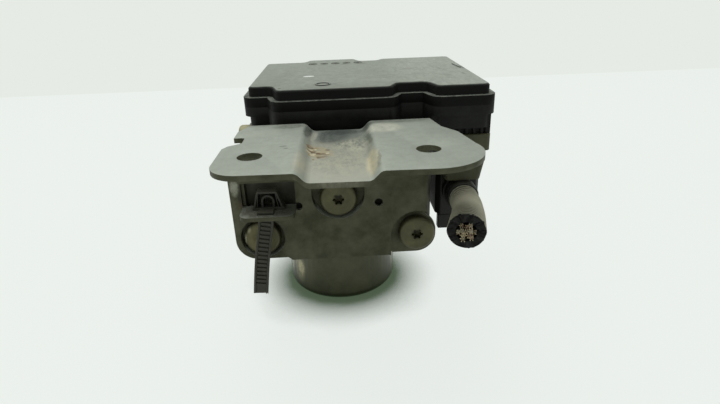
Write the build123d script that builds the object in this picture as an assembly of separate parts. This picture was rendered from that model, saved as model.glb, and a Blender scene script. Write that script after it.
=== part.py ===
from build123d import *
import os
from math import cos, pi, radians, sin, tan

# Anti-lock brake module: an electric motor under an aluminium valve block, a control unit on
# top, a pressed steel mounting bracket in front and the cut-off wiring plug at the right.
# The frame: origin in the middle of the motor's end face, +Z up, +X right, -Y to the front.

# ---------------------------------------------------------------- driving dimensions, mm
running_gap = 0.05      # between a turning or sliding shaft and its bore, on the radius
free_gap = 0.3          # between pieces that pass each other without touching

# motor
can_radius = 30.0
can_height = 38.2
can_wall = 1.6
can_corner = 5.5
can_flange = 3.0
ear_angles = (-30.0, 90.0, 210.0)
ear_pitch_radius = 33.6
ear_radius = 4.2
motor_screw_radius = 2.0
motor_screw_head = 3.3
motor_screw_head_height = 3.0
motor_screw_length = 10.0
magnet_thickness = 6.6
magnet_overlap = 2.5
magnet_poles = 4
magnet_gap_deg = 16.0
core_low = 9.5
core_air_gap = 0.6
slot_count = 12
slot_width = 3.4
slot_root = 11.5
slot_mouth = 1.6
slot_lip = 1.5
winding_overhang = 2.4
winding_inner = 8.4
winding_gap = 0.4
shaft_radius = 4.0
shaft_low = 2.4
shaft_edge = 0.5
collar_radius = 9.4
collar_height = 5.0
bush_radius = 7.8
commutator_radius = 9.0
commutator_height = 7.4
commutator_bars = 12
slit_depth = 0.8
slit_width = 0.5
commutator_clearance = 0.7
end_plate_thickness = 3.0
end_plate_clearance = 1.5
brush_width = 6.0
brush_height = 4.6
brush_length = 7.5
brush_proud = 1.5
holder_wall = 1.4
holder_length = 14.5
brush_spring_inset = 0.6
brush_spring_wire = 0.4
brush_spring_turns = 3
small_socket_radius = 1.8
small_socket_depth = 1.6

# valve block
block_width = 90.0
block_depth = 74.0
block_height = 59.4
axis_to_front = 36.2
block_edge = 1.2

# pump in the block
pump_rise = 15.0
eccentric_throw = 1.0
eccentric_radius = 6.5
eccentric_length = 10.4
ring_radius = 9.0
pump_bore_radius = 11.0
bearing_width = 7.0
journal_length = 6.0
piston_radius = 3.25
guide_length = 13.0
piston_collar_radius = 5.0
piston_collar = 2.0
spring_room_radius = 5.6
spring_room_length = 11.0
plug_radius = 9.0
plug_sink = 1.0
plug_socket_radius = 4.6
plug_socket_depth = 4.0
piston_spring_inset = 0.8
piston_spring_wire = 0.6
piston_spring_turns = 4
ring_recess = 0.2
chamber_play = 1.0
journal_play = 0.5

# low-pressure accumulators in the block's underside
accumulator_x = 34.0
accumulator_y = 26.5
accumulator_radius = 8.0
accumulator_depth = 25.0
accumulator_cap = 4.0
accumulator_piston_height = 7.0
accumulator_piston_wall = 2.0
accumulator_spring_inset = 3.2
accumulator_spring_wire = 0.8
accumulator_spring_turns = 5
accumulator_cap_rim = 2.5
accumulator_cap_recess = 1.5

# solenoid valves in the block's top, two rows of four
valve_pitch_x = 18.0
valve_pitch_y = 24.0
valve_columns = 4
valve_rows = 2
valve_collar_radius = 6.6
valve_collar_depth = 4.0
valve_stem_radius = 5.0
valve_stem_depth = 12.0
dome_radius = 3.8
dome_height = 9.4
dome_edge = 1.2
dome_wall = 2.0
plunger_radius = 2.3
plunger_length = 15.0
plunger_edge = 1.0
valve_spring_room = 4.0
valve_spring_inset = 0.7
valve_spring_wire = 0.35
valve_spring_turns = 3
coil_radius = 8.0
coil_height = 8.6
coil_bore_gap = 0.2
coil_waist = 0.8
coil_flange = 1.4
coil_to_board = 2.0

# threaded ports
port_radius = 5.0
port_depth = 13.0
port_rise = 41.0
port_pitch = 21.0
inlet_radius = 6.0
inlet_rise = 22.0
inlet_pitch = 24.0
side_port_radius = 4.0
side_port_y = 2.0
side_port_drop = 11.4
side_port_depth = 7.0
side_plug_head = 6.2
side_plug_proud = 6.0
side_plug_edge = 2.0
side_boss_radius = 7.0
shoulder_inset = 5.0
shoulder_drop = 10.4

# control unit
lid_left = -39.0
lid_right = 69.5
lid_front = -38.7
lid_right_front = -41.4
lid_left_notch = 11.5
lid_right_notch = 8.4
left_notch_x = -26.5
notch_start_x = 27.5
notch_end_x = 44.5
lid_back_left = 47.8
lid_back_bump = 55.4
lid_back_notch = 45.8
lid_back_right = 51.2
bump_left_x = -15.5
bump_right_x = 14.5
back_notch_x = 27.5
notch_slope = 3.5
outline_corner = 3.0
flange_overhang = 2.6
body_overhang = 0.6
body_height = 6.4
lower_flange = 4.3
apron_depth = 8.0
upper_flange = 4.4
lid_rise = 4.5
lid_edge = 0.8
unit_wall = 2.4
floor_thickness = 2.0
cover_thickness = 2.0
board_thickness = 1.6
board_gap = 0.5
board_post_radius = 2.4
gasket_width = 2.0
gasket_height = 1.2
gasket_side_inset = 3.4
gasket_front_inset = 2.0
gasket_back_inset = 3.0
unit_screw_radius = 2.0
unit_screw_head = 3.4
unit_screw_head_height = 2.6
unit_screw_length = 12.0
unit_screw_offset = 8.5
board_post_inset = 3.2
lid_ring_radius = 3.6
lid_ring_width = 0.7
lid_ring_rise = 0.3
lid_ring_from_left = 34.5
lid_ring_from_front = 11.5
board_unit = 10.0

# plug connection under the right side of the control unit
header_x = 61.3
header_y = -2.6
header_width = 17.6
header_length = 63.0
header_wall = 1.5
header_drop = 12.4
pin_rows = 2
pins_per_row = 8
pin_pitch_x = 6.4
pin_pitch_y = 7.0
pin_width = 1.2
pin_thickness = 0.8
pin_drop = 10.0
pin_slack = 0.2
skirt_wall = 2.3
skirt_below_unit = 4.8
skirt_collar = 7.8
plug_waist = 1.4
plug_taper = 1.5
plug_taper_height = 9.8
plug_core_gap = 1.0
plug_body_height = 23.4
plug_cover_height = 22.7
plug_cover_wall = 2.0
plug_cover_front = 12.5
plug_cover_toe = 7.0
plug_cover_heel = 5.0
plug_cover_edge = 3.0
plug_foot = 4.6
plug_foot_height = 8.4
header_rib = 1.2
header_ribs = 5
header_lug = 2.2
header_lug_length = 6.0
plug_corner = 2.5
seal_height = 3.0
seal_depth = 0.8
seal_drop = 3.0
lever_pivot_y = 2.0
lever_pivot_rise = 8.0
lever_pin_radius = 2.9
lever_pin_root = 4.0
lever_hub = 6.0
lever_arm = 1.3
lever_web_inset = 0.4
lever_web_half = 2.0
lever_bar_edge = 1.2
lever_reach = 36.0
lever_bar = 4.0
lever_bar_height = 9.0
lever_bar_rise = 6.5

# mounting bracket, one pressed sheet
sheet = 2.0
recess_depth = 5.0
plate_left = -50.3
plate_right = 42.2
plate_side_rise = -1.5
plate_mid_rise = -3.1
plate_right_rise = -4.4
plate_mid_half = 24.0
plate_step = 2.0
plate_corner = 10.0
plate_neck_rise = 43.0
lobe_radius = 9.8
centre_screw_rise = 27.6
left_screw_rise = 8.8
right_screw_rise = 7.2
side_screw_x = 37.7
shelf_rise = 66.0
shelf_reach = 67.5
shelf_front_skew = 2.3
bend_radius = 6.0
shelf_back_left = -36.5
shelf_back_right = 41.7
shelf_waist_left = -39.8
shelf_waist_reach = 8.0
shelf_left = -41.8
shelf_left_corner = 11.0
shelf_shoulder_reach = 36.0
shelf_shoulder_slope = 4.0
shelf_hole_radius = 4.5
shelf_hole_left_x = -29.8
shelf_hole_right_x = 33.6
shelf_hole_reach = 46.5
shelf_right_ear = 19.2
shelf_neck_right = 43.9
shelf_neck_reach = 17.1
shelf_wing_right = 48.9
shelf_wing_reach = 26.1
channel_x = 1.4
channel_top = 27.8
channel_floor = 21.2
channel_depth = 3.4
channel_round = 3.0
channel_ridge = 8.0
edge_notch_reach = 22.1
edge_notch_depth = 4.4
edge_notch_inner = 7.2
edge_notch_width = 13.2
edge_notch_edge = 1.2
centre_recess_radius = 12.4
centre_recess_low = 3.0
centre_recess_rise = 2.0
left_recess_radius = 10.6
left_recess_in = 0.5
left_recess_rise = 1.1
right_recess_radius = 13.0
locator_radius = 2.0
locator_x = 19.0
locator_rise = 25.6
tab_left = -45.0
tab_right = -20.0
tab_rise = 26.2
tab_reach = 12.0
tab_corner = 4.0
tab_window = 12.0
tab_slot_reach = 8.0
bracket_screw_radius = 4.0
bracket_screw_head = 8.75
bracket_screw_head_height = 4.2
bracket_screw_edge = 1.6
bracket_screw_length = 20.0
lobe_socket_radius = 2.8
lobe_socket_depth = 3.5

# cable tie with its clip
strap_width = 7.1
strap_thickness = 1.5
strap_length = 40.0
strap_lean_deg = 9.0
strap_shift = 1.7
strap_tooth_pitch = 2.2
strap_tooth = 0.5
strap_rim = 1.2
clip_x = -31.5
clip_foot = 14.6
clip_top = 10.4
clip_reach = 4.0
clip_depth = 6.0
clip_height = 9.2
clip_plate = 1.3
clip_arch = 4.6
clip_arch_height = 6.2
clip_wing = 1.6
clip_slit = 0.9
clip_slit_length = 5.5
clip_lean_deg = 12.0

# harness stub
harness_radius = 7.0
harness_wall = 1.6
gland_radius = 8.2
gland_length = 4.0
wire_gap = 0.1
harness_x = 61.3
harness_rise = -8.6

# ---------------------------------------------------------------- places worked out from them
block_low = can_height
block_top = block_low + block_height
block_front = -axis_to_front
block_back = block_front + block_depth
half_block = block_width / 2
pump_z = block_low + pump_rise
plate_back = block_front - recess_depth
plate_front = plate_back - sheet
plate_side_low = block_low + plate_side_rise
plate_mid_low = block_low + plate_mid_rise
plate_right_low = block_low + plate_right_rise
plate_neck = block_low + plate_neck_rise
shelf_height = block_low + shelf_rise
locator_z = block_low + locator_rise
tab_top = block_low + tab_rise
unit_low = block_top
flange_low = unit_low + body_height
seam_z = flange_low + lower_flange
flange_top = seam_z + upper_flange
lid_top = flange_top + lid_rise
floor_top = unit_low + floor_thickness
board_low = floor_top + coil_height + coil_to_board
board_top = board_low + board_thickness
skirt_top = unit_low - skirt_below_unit
header_low = unit_low - header_drop
plug_low = skirt_top - plug_body_height
cover_low = plug_low - plug_cover_height
magnet_outer = can_radius - can_wall
magnet_inner = magnet_outer - magnet_thickness
core_radius = magnet_inner - core_air_gap
end_plate_low = can_height - can_wall - end_plate_thickness
commutator_top = end_plate_low - commutator_clearance
commutator_low = commutator_top - commutator_height
core_top = commutator_low - winding_gap - winding_overhang
magnet_low = core_low - magnet_overlap
magnet_height = core_top + magnet_overlap - magnet_low
brush_z = commutator_low + commutator_height / 2
eccentric_low = pump_z - eccentric_length / 2
eccentric_top = pump_z + eccentric_length / 2
chamber_top = eccentric_top + chamber_play
journal_top = chamber_top + journal_length
lever_pivot_z = plug_low + lever_pivot_rise
side_port_z = block_top - side_port_drop
strap_x = clip_x - strap_shift
strap_y = plate_front - tab_slot_reach


# ---------------------------------------------------------------- small shapes used throughout
def box_between(x0, x1, y0, y1, z0, z1):
    """A box from its two corners."""
    middle = Pos((x0 + x1) / 2, (y0 + y1) / 2, (z0 + z1) / 2)
    return middle * Box(abs(x1 - x0), abs(y1 - y0), abs(z1 - z0))


def disc(radius, low, high, x=0.0, y=0.0):
    """An upright cylinder from one height to another."""
    return Pos(x, y, (low + high) / 2) * Cylinder(radius, high - low)


def rod_x(radius, x0, x1, y, z):
    """A cylinder along X."""
    return Pos((x0 + x1) / 2, y, z) * Rot(0, 90, 0) * Cylinder(radius, abs(x1 - x0))


def rod_y(radius, y0, y1, x, z):
    """A cylinder along Y."""
    return Pos(x, (y0 + y1) / 2, z) * Rot(90, 0, 0) * Cylinder(radius, abs(y1 - y0))


def ring(outer, inner, low, high, x=0.0, y=0.0):
    """An upright tube."""
    return disc(outer, low, high, x, y) - disc(inner, low, high, x, y)


def coil_spring(mean_radius, wire, length, turns):
    """A wound wire spring standing on the origin along +Z."""
    pitch = (length - 2 * wire) / turns
    path = Pos(0, 0, wire) * Helix(pitch, length - 2 * wire, mean_radius)
    section = Plane(path @ 0, z_dir=path % 0) * RegularPolygon(wire, 6)
    return sweep(section, path, is_frenet=True)


def together(solids):
    """Separate solids that share one node."""
    return Compound(children=[s for solid in solids for s in solid.solids()])


def valve_places():
    """The valve axes, column by column."""
    places = []
    for column in range(valve_columns):
        for row in range(valve_rows):
            x = (column - (valve_columns - 1) / 2) * valve_pitch_x
            y = (row - (valve_rows - 1) / 2) * valve_pitch_y
            places.append((x, y))
    return places


def pin_places():
    """The plug pins, row by row."""
    places = []
    for row in range(pin_rows):
        for number in range(pins_per_row):
            x = header_x + (row - (pin_rows - 1) / 2) * pin_pitch_x
            y = header_y + (number - (pins_per_row - 1) / 2) * pin_pitch_y
            places.append((x, y))
    return places


def six_lobe(radius, depth):
    """A six-lobe driver socket, as a solid to cut, sunk along -Z from the origin."""
    core = Circle(radius * 0.72)
    for number in range(6):
        angle = radians(60 * number)
        core += Pos(radius * 0.78 * cos(angle), radius * 0.78 * sin(angle)) * Circle(radius * 0.22)
    return extrude(core, -depth)


# ---------------------------------------------------------------- motor
def motor_can():
    """Deep-drawn steel cup with a flat end, a bearing collar inside and two screw ears."""
    cup = fillet(disc(can_radius, 0, can_height).edges().sort_by(Axis.Z)[0], can_corner)
    room = disc(can_radius - can_wall, can_wall, can_height)
    room = fillet(room.edges().sort_by(Axis.Z)[0], can_corner - can_wall)
    rim_low = can_height - can_wall
    rim = disc(can_radius + can_flange, rim_low, can_height)
    for angle in ear_angles:
        neck = box_between(0, ear_pitch_radius, -ear_radius, ear_radius, rim_low, can_height)
        rim += Rot(0, 0, angle) * (disc(ear_radius, rim_low, can_height, ear_pitch_radius) + neck)
        rim -= Rot(0, 0, angle) * disc(motor_screw_radius, rim_low, can_height, ear_pitch_radius)
    collar = ring(collar_radius, bush_radius, can_wall, can_wall + collar_height)
    return (cup + rim) - room + collar


def field_magnets():
    """Ferrite arcs bonded to the inside of the can."""
    arcs = []
    span = 360 / magnet_poles - magnet_gap_deg
    for number in range(magnet_poles):
        turn = Rot(0, 0, number * 360 / magnet_poles + magnet_gap_deg / 2)
        face = Pos(magnet_inner, 0) * Rectangle(magnet_thickness, magnet_height, align=Align.MIN)
        arc = revolve(Plane.XZ * face, Axis.Z, span)
        arcs.append(turn * Pos(0, 0, magnet_low) * arc)
    return together(arcs)


def rear_bearing():
    """Sintered bush in the can's collar."""
    top = can_wall + collar_height
    return ring(bush_radius, shaft_radius + running_gap, can_wall, top)


def rotor_shaft():
    """Ground steel shaft with the eccentric that drives the pump."""
    shaft = disc(shaft_radius, shaft_low, journal_top)
    shaft += disc(eccentric_radius, eccentric_low, eccentric_top, 0, eccentric_throw)
    return chamfer(shaft.edges().sort_by(Axis.Z)[0], shaft_edge)


def slot_shape(width, low, high, mouth=0.0):
    """One winding slot of the armature, pointing along +X."""
    outer = core_radius - slot_lip
    slot = box_between(slot_root, outer, -width / 2, width / 2, low, high)
    if mouth:
        slot += box_between(slot_root, core_radius + 1, -mouth / 2, mouth / 2, low, high)
    return slot


def armature_core():
    """Stack of slotted laminations on the shaft."""
    core = ring(core_radius, shaft_radius, core_low, core_top)
    for number in range(slot_count):
        slot = slot_shape(slot_width, core_low, core_top, slot_mouth)
        core -= Rot(0, 0, number * 360 / slot_count) * slot
    return core


def armature_winding():
    """Enamelled copper: the filled slots and the end turns at both ends, as one winding."""
    low = core_low - winding_overhang
    high = core_top + winding_overhang
    outer = core_radius - slot_lip
    winding = ring(outer, winding_inner, core_top, high)
    winding += ring(outer, collar_radius + 1, low, core_low)
    for number in range(slot_count):
        winding += Rot(0, 0, number * 360 / slot_count) * slot_shape(slot_width, low, high)
    return winding


def commutator():
    """Copper bars round a moulded hub, with a slit between each two."""
    body = ring(commutator_radius, shaft_radius, commutator_low, commutator_top)
    inner = commutator_radius - slit_depth
    half = slit_width / 2
    for number in range(commutator_bars):
        slit = box_between(inner, commutator_radius + 1, -half, half, commutator_low, commutator_top)
        body -= Rot(0, 0, (number + 0.5) * 360 / commutator_bars) * slit
    return body


def brush_start():
    """Where a brush's inner end stands, just off the commutator."""
    return commutator_radius + free_gap


def motor_end_plate():
    """Moulded plate that closes the can and holds the two brush boxes."""
    top = can_height - can_wall
    plate = ring(can_radius - can_wall, shaft_radius + end_plate_clearance, end_plate_low, can_height)
    plate -= ring(can_radius, can_radius - can_wall - 1, top, can_height)
    inner = brush_start() + brush_proud
    outer = inner + holder_length
    half_width = brush_width / 2 + holder_wall
    low = brush_z - brush_height / 2 - holder_wall
    for side in (-1, 1):
        holder = box_between(-half_width, half_width, side * inner, side * outer, low, end_plate_low)
        hollow = box_between(
            -brush_width / 2 - running_gap, brush_width / 2 + running_gap,
            side * (inner - 1), side * (outer - holder_wall),
            brush_z - brush_height / 2 - running_gap, brush_z + brush_height / 2 + running_gap)
        plate += holder
        plate -= hollow
    return plate


def brush(side):
    """Carbon brush that slides towards the commutator."""
    start = brush_start()
    return box_between(-brush_width / 2, brush_width / 2, side * start, side * (start + brush_length),
                       brush_z - brush_height / 2, brush_z + brush_height / 2)


def brush_spring(side):
    """Spring behind a brush."""
    start = brush_start() + brush_length
    end = brush_start() + brush_proud + holder_length - holder_wall
    radius = brush_height / 2 - brush_spring_inset
    spring = coil_spring(radius, brush_spring_wire, end - start, brush_spring_turns)
    return Pos(0, side * start, brush_z) * Rot(-90 * side, 0, 0) * spring


def front_bearing():
    """Ball bearing in the block that carries the shaft under the eccentric."""
    return ring(pump_bore_radius, shaft_radius + running_gap, block_low, block_low + bearing_width)


def motor_screws():
    """Screws that hold the motor's ears to the block."""
    screws = []
    rim_low = can_height - can_wall
    head_low = rim_low - motor_screw_head_height
    for angle in ear_angles:
        screw = disc(motor_screw_radius, rim_low, can_height + motor_screw_length, ear_pitch_radius)
        head = disc(motor_screw_head, head_low, rim_low, ear_pitch_radius)
        socket = Rot(180, 0, 0) * six_lobe(small_socket_radius, small_socket_depth)
        socket = Pos(ear_pitch_radius, 0, head_low) * socket
        screws.append(Rot(0, 0, angle) * (screw + head - socket))
    return together(screws)


# ---------------------------------------------------------------- pump
def eccentric_ring():
    """Bearing ring on the eccentric, which the pistons ride on."""
    low = eccentric_low + ring_recess
    high = eccentric_top - ring_recess
    return ring(ring_radius, eccentric_radius + running_gap, low, high, 0, eccentric_throw)


def piston_start():
    """Inner end of a pump piston, clear of the ring's largest sweep."""
    return ring_radius + eccentric_throw + free_gap


def guide_end():
    """Where a piston's guide opens into its spring room."""
    return pump_bore_radius + guide_length


def plug_start():
    """Inner face of a pump plug."""
    return guide_end() + spring_room_length


def pump_piston(side):
    """Plunger with a collar for its spring."""
    collar = guide_end() + free_gap
    rod = rod_x(piston_radius, side * piston_start(), side * collar, 0, pump_z)
    return rod + rod_x(piston_collar_radius, side * collar, side * (collar + piston_collar), 0, pump_z)


def piston_spring(side):
    """Spring that pushes a piston onto the ring."""
    start = guide_end() + free_gap + piston_collar
    radius = piston_collar_radius - piston_spring_inset
    spring = coil_spring(radius, piston_spring_wire, plug_start() - start, piston_spring_turns)
    return Pos(side * start, 0, pump_z) * Rot(0, 90 * side, 0) * spring


def pump_plug(side):
    """Threaded plug that closes a pump bore, with a hexagon socket."""
    outer = half_block - plug_sink
    plug = rod_x(plug_radius, side * plug_start(), side * outer, 0, pump_z)
    socket = extrude(RegularPolygon(plug_socket_radius, 6), plug_socket_depth)
    return plug - Pos(side * outer, 0, pump_z) * Rot(0, -90 * side, 0) * socket


# ---------------------------------------------------------------- accumulators
def accumulator_bore_top():
    """Blind end of an accumulator's bore."""
    return block_low + accumulator_depth


def accumulator_piston(side):
    """Piston cup that gives way to the fluid."""
    top = accumulator_bore_top() - free_gap
    x = side * accumulator_x
    low = top - accumulator_piston_height
    cup = disc(accumulator_radius - running_gap, low, top, x, accumulator_y)
    wall = accumulator_piston_wall
    return cup - disc(accumulator_radius - wall, low, top - wall, x, accumulator_y)


def accumulator_spring(side):
    """Spring under an accumulator piston."""
    low = block_low + accumulator_cap
    top = accumulator_bore_top() - free_gap - accumulator_piston_wall
    radius = accumulator_radius - accumulator_spring_inset
    spring = coil_spring(radius, accumulator_spring_wire, top - low, accumulator_spring_turns)
    return Pos(side * accumulator_x, accumulator_y, low) * spring


def accumulator_cover(side):
    """Pressed cap that closes an accumulator, flush with the block's underside."""
    x = side * accumulator_x
    cap = disc(accumulator_radius, block_low, block_low + accumulator_cap, x, accumulator_y)
    inner = accumulator_radius - accumulator_cap_rim
    return cap - disc(inner, block_low, block_low + accumulator_cap_recess, x, accumulator_y)


# ---------------------------------------------------------------- valves
def valve_bodies():
    """Eight pressed-in valve cartridges with the closed tubes their coils fit over."""
    bodies = []
    for x, y in valve_places():
        body = disc(valve_collar_radius, block_top - valve_collar_depth, block_top, x, y)
        body += disc(valve_stem_radius, valve_stem_low(), block_top - valve_collar_depth, x, y)
        dome = disc(dome_radius, block_top, block_top + dome_height, x, y)
        body += fillet(dome.edges().sort_by(Axis.Z)[-1], dome_edge)
        room_top = plunger_high() + valve_spring_room
        body -= disc(plunger_radius + running_gap, plunger_low() - free_gap, room_top, x, y)
        bodies.append(body)
    return together(bodies)


def valve_stem_low():
    """Lower end of a valve cartridge."""
    return block_top - valve_collar_depth - valve_stem_depth


def plunger_high():
    """Upper end of a valve plunger at rest."""
    return block_top + dome_height - dome_wall - valve_spring_room


def plunger_low():
    """Lower end of a valve plunger at rest."""
    return plunger_high() - plunger_length


def valve_plunger(x, y):
    """Steel plunger that the coil lifts."""
    plunger = disc(plunger_radius, plunger_low(), plunger_high(), x, y)
    return chamfer(plunger.edges().sort_by(Axis.Z)[0], plunger_edge)


def valve_springs():
    """Springs over the plungers."""
    springs = []
    radius = plunger_radius - valve_spring_inset
    for x, y in valve_places():
        spring = coil_spring(radius, valve_spring_wire, valve_spring_room, valve_spring_turns)
        springs.append(Pos(x, y, plunger_high()) * spring)
    return together(springs)


def valve_coils():
    """Solenoid coils over the valve tubes, standing on the control unit's floor."""
    coils = []
    top = floor_top + coil_height
    waist_radius = coil_radius - coil_waist
    for x, y in valve_places():
        coil = ring(coil_radius, dome_radius + coil_bore_gap, floor_top, top, x, y)
        waist = ring(coil_radius, waist_radius, floor_top + coil_flange, top - coil_flange, x, y)
        coils.append(coil - waist)
    return together(coils)


# ---------------------------------------------------------------- valve block
def port_places():
    """Outlet ports and inlet ports on the back face: x, z and radius."""
    places = []
    for number in range(4):
        places.append(((number - 1.5) * port_pitch, block_low + port_rise, port_radius))
    for side in (-1, 1):
        places.append((side * inlet_pitch / 2, block_low + inlet_rise, inlet_radius))
    return places


def bracket_screw_places():
    """x and z of the three bracket screws."""
    left = block_low + left_screw_rise
    right = block_low + right_screw_rise
    return [(0.0, block_low + centre_screw_rise), (-side_screw_x, left), (side_screw_x, right)]


def unit_screw_places():
    """x and y of the control unit's screws, between the valves."""
    y = valve_pitch_y / 2 + unit_screw_offset
    return [(-valve_pitch_x, 0), (valve_pitch_x, 0), (0, -y), (0, y)]


def valve_block():
    """Machined aluminium block with the pump, valve, accumulator and port bores."""
    block = box_between(-half_block, half_block, block_front, block_back, block_low, block_top)
    block = chamfer(block.edges(), block_edge)
    shoulder = half_block - shoulder_inset
    for side in (-1, 1):
        block -= box_between(side * shoulder, side * half_block, block_front, block_back,
                             block_top - shoulder_drop, block_top)
    block += rod_x(side_boss_radius, -half_block, -shoulder, side_port_y, side_port_z)
    block -= disc(pump_bore_radius, block_low, chamber_top)
    block -= disc(shaft_radius + running_gap, chamber_top, journal_top + journal_play)
    for side in (-1, 1):
        block -= rod_x(piston_radius + running_gap, 0, side * half_block, 0, pump_z)
        block -= rod_x(spring_room_radius, side * guide_end(), side * half_block, 0, pump_z)
        block -= rod_x(plug_radius, side * plug_start(), side * half_block, 0, pump_z)
        x = side * accumulator_x
        block -= disc(accumulator_radius, block_low, accumulator_bore_top(), x, accumulator_y)
    for angle in ear_angles:
        hole = disc(motor_screw_radius, block_low, block_low + motor_screw_length, ear_pitch_radius)
        block -= Rot(0, 0, angle) * hole
    for x, y in valve_places():
        block -= disc(valve_collar_radius, block_top - valve_collar_depth, block_top, x, y)
        block -= disc(valve_stem_radius, valve_stem_low(), block_top, x, y)
    for x, z, radius in port_places():
        block -= rod_y(radius, block_back - port_depth, block_back, x, z)
    for x, z in bracket_screw_places():
        block -= rod_y(bracket_screw_radius, block_front, block_front + bracket_screw_length - sheet, x, z)
    for x, y in unit_screw_places():
        block -= disc(unit_screw_radius, floor_top - unit_screw_length, block_top, x, y)
    port_end = -half_block + side_port_depth
    return block - rod_x(side_port_radius, -half_block, port_end, side_port_y, side_port_z)


def side_port_plug():
    """Domed plug in the port on the block's left face."""
    face = -half_block
    stem = rod_x(side_port_radius, face, face + side_port_depth, side_port_y, side_port_z)
    head = rod_x(side_plug_head, face - side_plug_proud, face, side_port_y, side_port_z)
    return stem + fillet(head.edges().sort_by(Axis.X)[0], side_plug_edge)


# ---------------------------------------------------------------- control unit
def unit_outline(grow):
    """The control unit's outline seen from above, grown outwards by some millimetres."""
    left_front = lid_front + lid_left_notch
    right_notch = lid_front + lid_right_notch
    half = notch_slope / 2
    points = [
        (lid_left, left_front),
        (left_notch_x - half, left_front),
        (left_notch_x + half, lid_front),
        (notch_start_x - half, lid_front),
        (notch_start_x + half, right_notch),
        (notch_end_x - half, right_notch),
        (notch_end_x + half, lid_right_front),
        (lid_right, lid_right_front),
        (lid_right, lid_back_right),
        (back_notch_x + half, lid_back_right),
        (back_notch_x - half, lid_back_notch),
        (bump_right_x + half, lid_back_notch),
        (bump_right_x - half, lid_back_bump),
        (bump_left_x + half, lid_back_bump),
        (bump_left_x - half, lid_back_left),
        (lid_left, lid_back_left),
    ]
    outline = Polygon(*points, align=None)
    outline = fillet(outline.vertices(), outline_corner)
    if grow:
        outline = offset(outline, grow)
    return outline


def unit_slab(grow, low, high):
    """The outline raised from one height to another."""
    return Pos(0, 0, low) * extrude(unit_outline(grow), high - low)


def header_box(wider, low, high):
    """A box round the plug connection, wider than the header's own outside by that much."""
    half_x = header_width / 2 + wider
    half_y = header_length / 2 + wider
    return box_between(header_x - half_x, header_x + half_x, header_y - half_y, header_y + half_y, low, high)


def board_posts():
    """x and y of the posts under the circuit board."""
    inset = unit_wall + board_post_inset
    left = lid_left + inset
    right = lid_right - inset
    back = lid_back_notch - inset
    front = lid_front + lid_left_notch + inset
    middle = header_x - header_width
    right_front = lid_right_front + inset
    return [(left, front), (left, back), (middle, back), (right, back), (middle, front), (right, right_front)]


def pin(x, y, low, high, slack=0.0):
    """A flat pin at one place, grown by some slack when it is to be cut."""
    half_x = pin_width / 2 + slack
    half_y = pin_thickness / 2 + slack
    return box_between(x - half_x, x + half_x, y - half_y, y + half_y, low, high)


def ecu_housing():
    """Moulded tray of the control unit, with the plug header under its right side."""
    tray = unit_slab(body_overhang, unit_low, flange_low)
    tray += unit_slab(flange_overhang, flange_low, seam_z)
    tray += unit_slab(flange_overhang, unit_low, flange_low) & box_between(
        lid_left, lid_right, plate_back + free_gap, lid_front + apron_depth, unit_low, flange_low)
    tray -= unit_slab(-unit_wall, floor_top, seam_z)
    for x, y in board_posts():
        tray += disc(board_post_radius, floor_top, board_low, x, y)
    for x, y in valve_places():
        tray -= disc(dome_radius + coil_bore_gap, unit_low, floor_top, x, y)
    for x, y in unit_screw_places():
        tray -= disc(unit_screw_radius, unit_low, floor_top, x, y)
    tray += header_box(0, header_low, unit_low) - header_box(-header_wall, header_low, unit_low)
    tray += header_ribs_and_lug()
    for x, y in pin_places():
        tray -= pin(x, y, unit_low, floor_top)
    groove = gasket_track(unit_low, unit_low + gasket_height)
    return tray - groove


def header_ribs_and_lug():
    """Small ribs on the front of the plug header, over the plug's collar, and a lug at its right."""
    low = skirt_top + free_gap
    front = header_y - header_length / 2
    pitch = header_width / header_ribs
    right = header_x + header_width / 2
    shape = box_between(right, right + header_lug, front - header_rib, front + header_lug_length,
                        low, flange_low)
    for number in range(header_ribs):
        x = header_x + (number - (header_ribs - 1) / 2) * pitch
        half = header_rib / 2
        shape += box_between(x - half, x + half, front - header_rib, front + header_wall, low, unit_low)
    return shape


def gasket_track(low, high):
    """The rectangular track of the seal between the block and the control unit."""
    x = min(-lid_left, half_block) - gasket_side_inset
    front = lid_front + lid_left_notch + gasket_front_inset
    back = block_back - gasket_back_inset
    width = gasket_width
    outer = box_between(-x, x, front, back, low, high)
    return outer - box_between(-x + width, x - width, front + width, back - width, low, high)


def ecu_gasket():
    """Rubber seal between the block and the control unit."""
    return gasket_track(unit_low, unit_low + gasket_height)


def ecu_cover():
    """Moulded cover with a raised lid, welded to the tray along the seam."""
    cover = unit_slab(flange_overhang, seam_z, flange_top)
    lid = unit_slab(0, flange_top, lid_top)
    cover += chamfer(lid.faces().sort_by(Axis.Z)[-1].edges(), lid_edge)
    cover -= unit_slab(-unit_wall, seam_z, lid_top - cover_thickness)
    ring_x = lid_left + lid_ring_from_left
    ring_y = lid_front + lid_ring_from_front
    inner = lid_ring_radius - lid_ring_width
    return cover + ring(lid_ring_radius, inner, lid_top, lid_top + lid_ring_rise, ring_x, ring_y)


def circuit_board():
    """Circuit board on the tray's posts."""
    return unit_slab(-unit_wall - board_gap, board_low, board_top)


def board_components():
    """The larger parts soldered on the board: place, width, depth and height in board units."""
    table = [
        (-1.6, 0.6, 2.0, 2.0, 0.16), (1.6, -0.8, 1.4, 1.4, 0.14), (1.4, 1.8, 1.0, 0.8, 0.20),
        (-2.6, -1.4, 0.8, 0.6, 0.20), (-2.6, 3.0, 0.8, 0.8, 0.26), (-0.6, 3.2, 0.8, 0.8, 0.26),
        (0.0, -2.4, 1.2, 0.5, 0.12), (3.6, 3.0, 0.9, 1.2, 0.24), (3.8, 0.2, 0.7, 0.9, 0.18),
        (3.8, -1.4, 0.7, 0.9, 0.18),
    ]
    parts = []
    for row in table:
        x, y, width, depth, height = [board_unit * value for value in row]
        parts.append(Pos(x, y, board_top + height / 2) * Box(width, depth, height))
    return together(parts)


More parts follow.
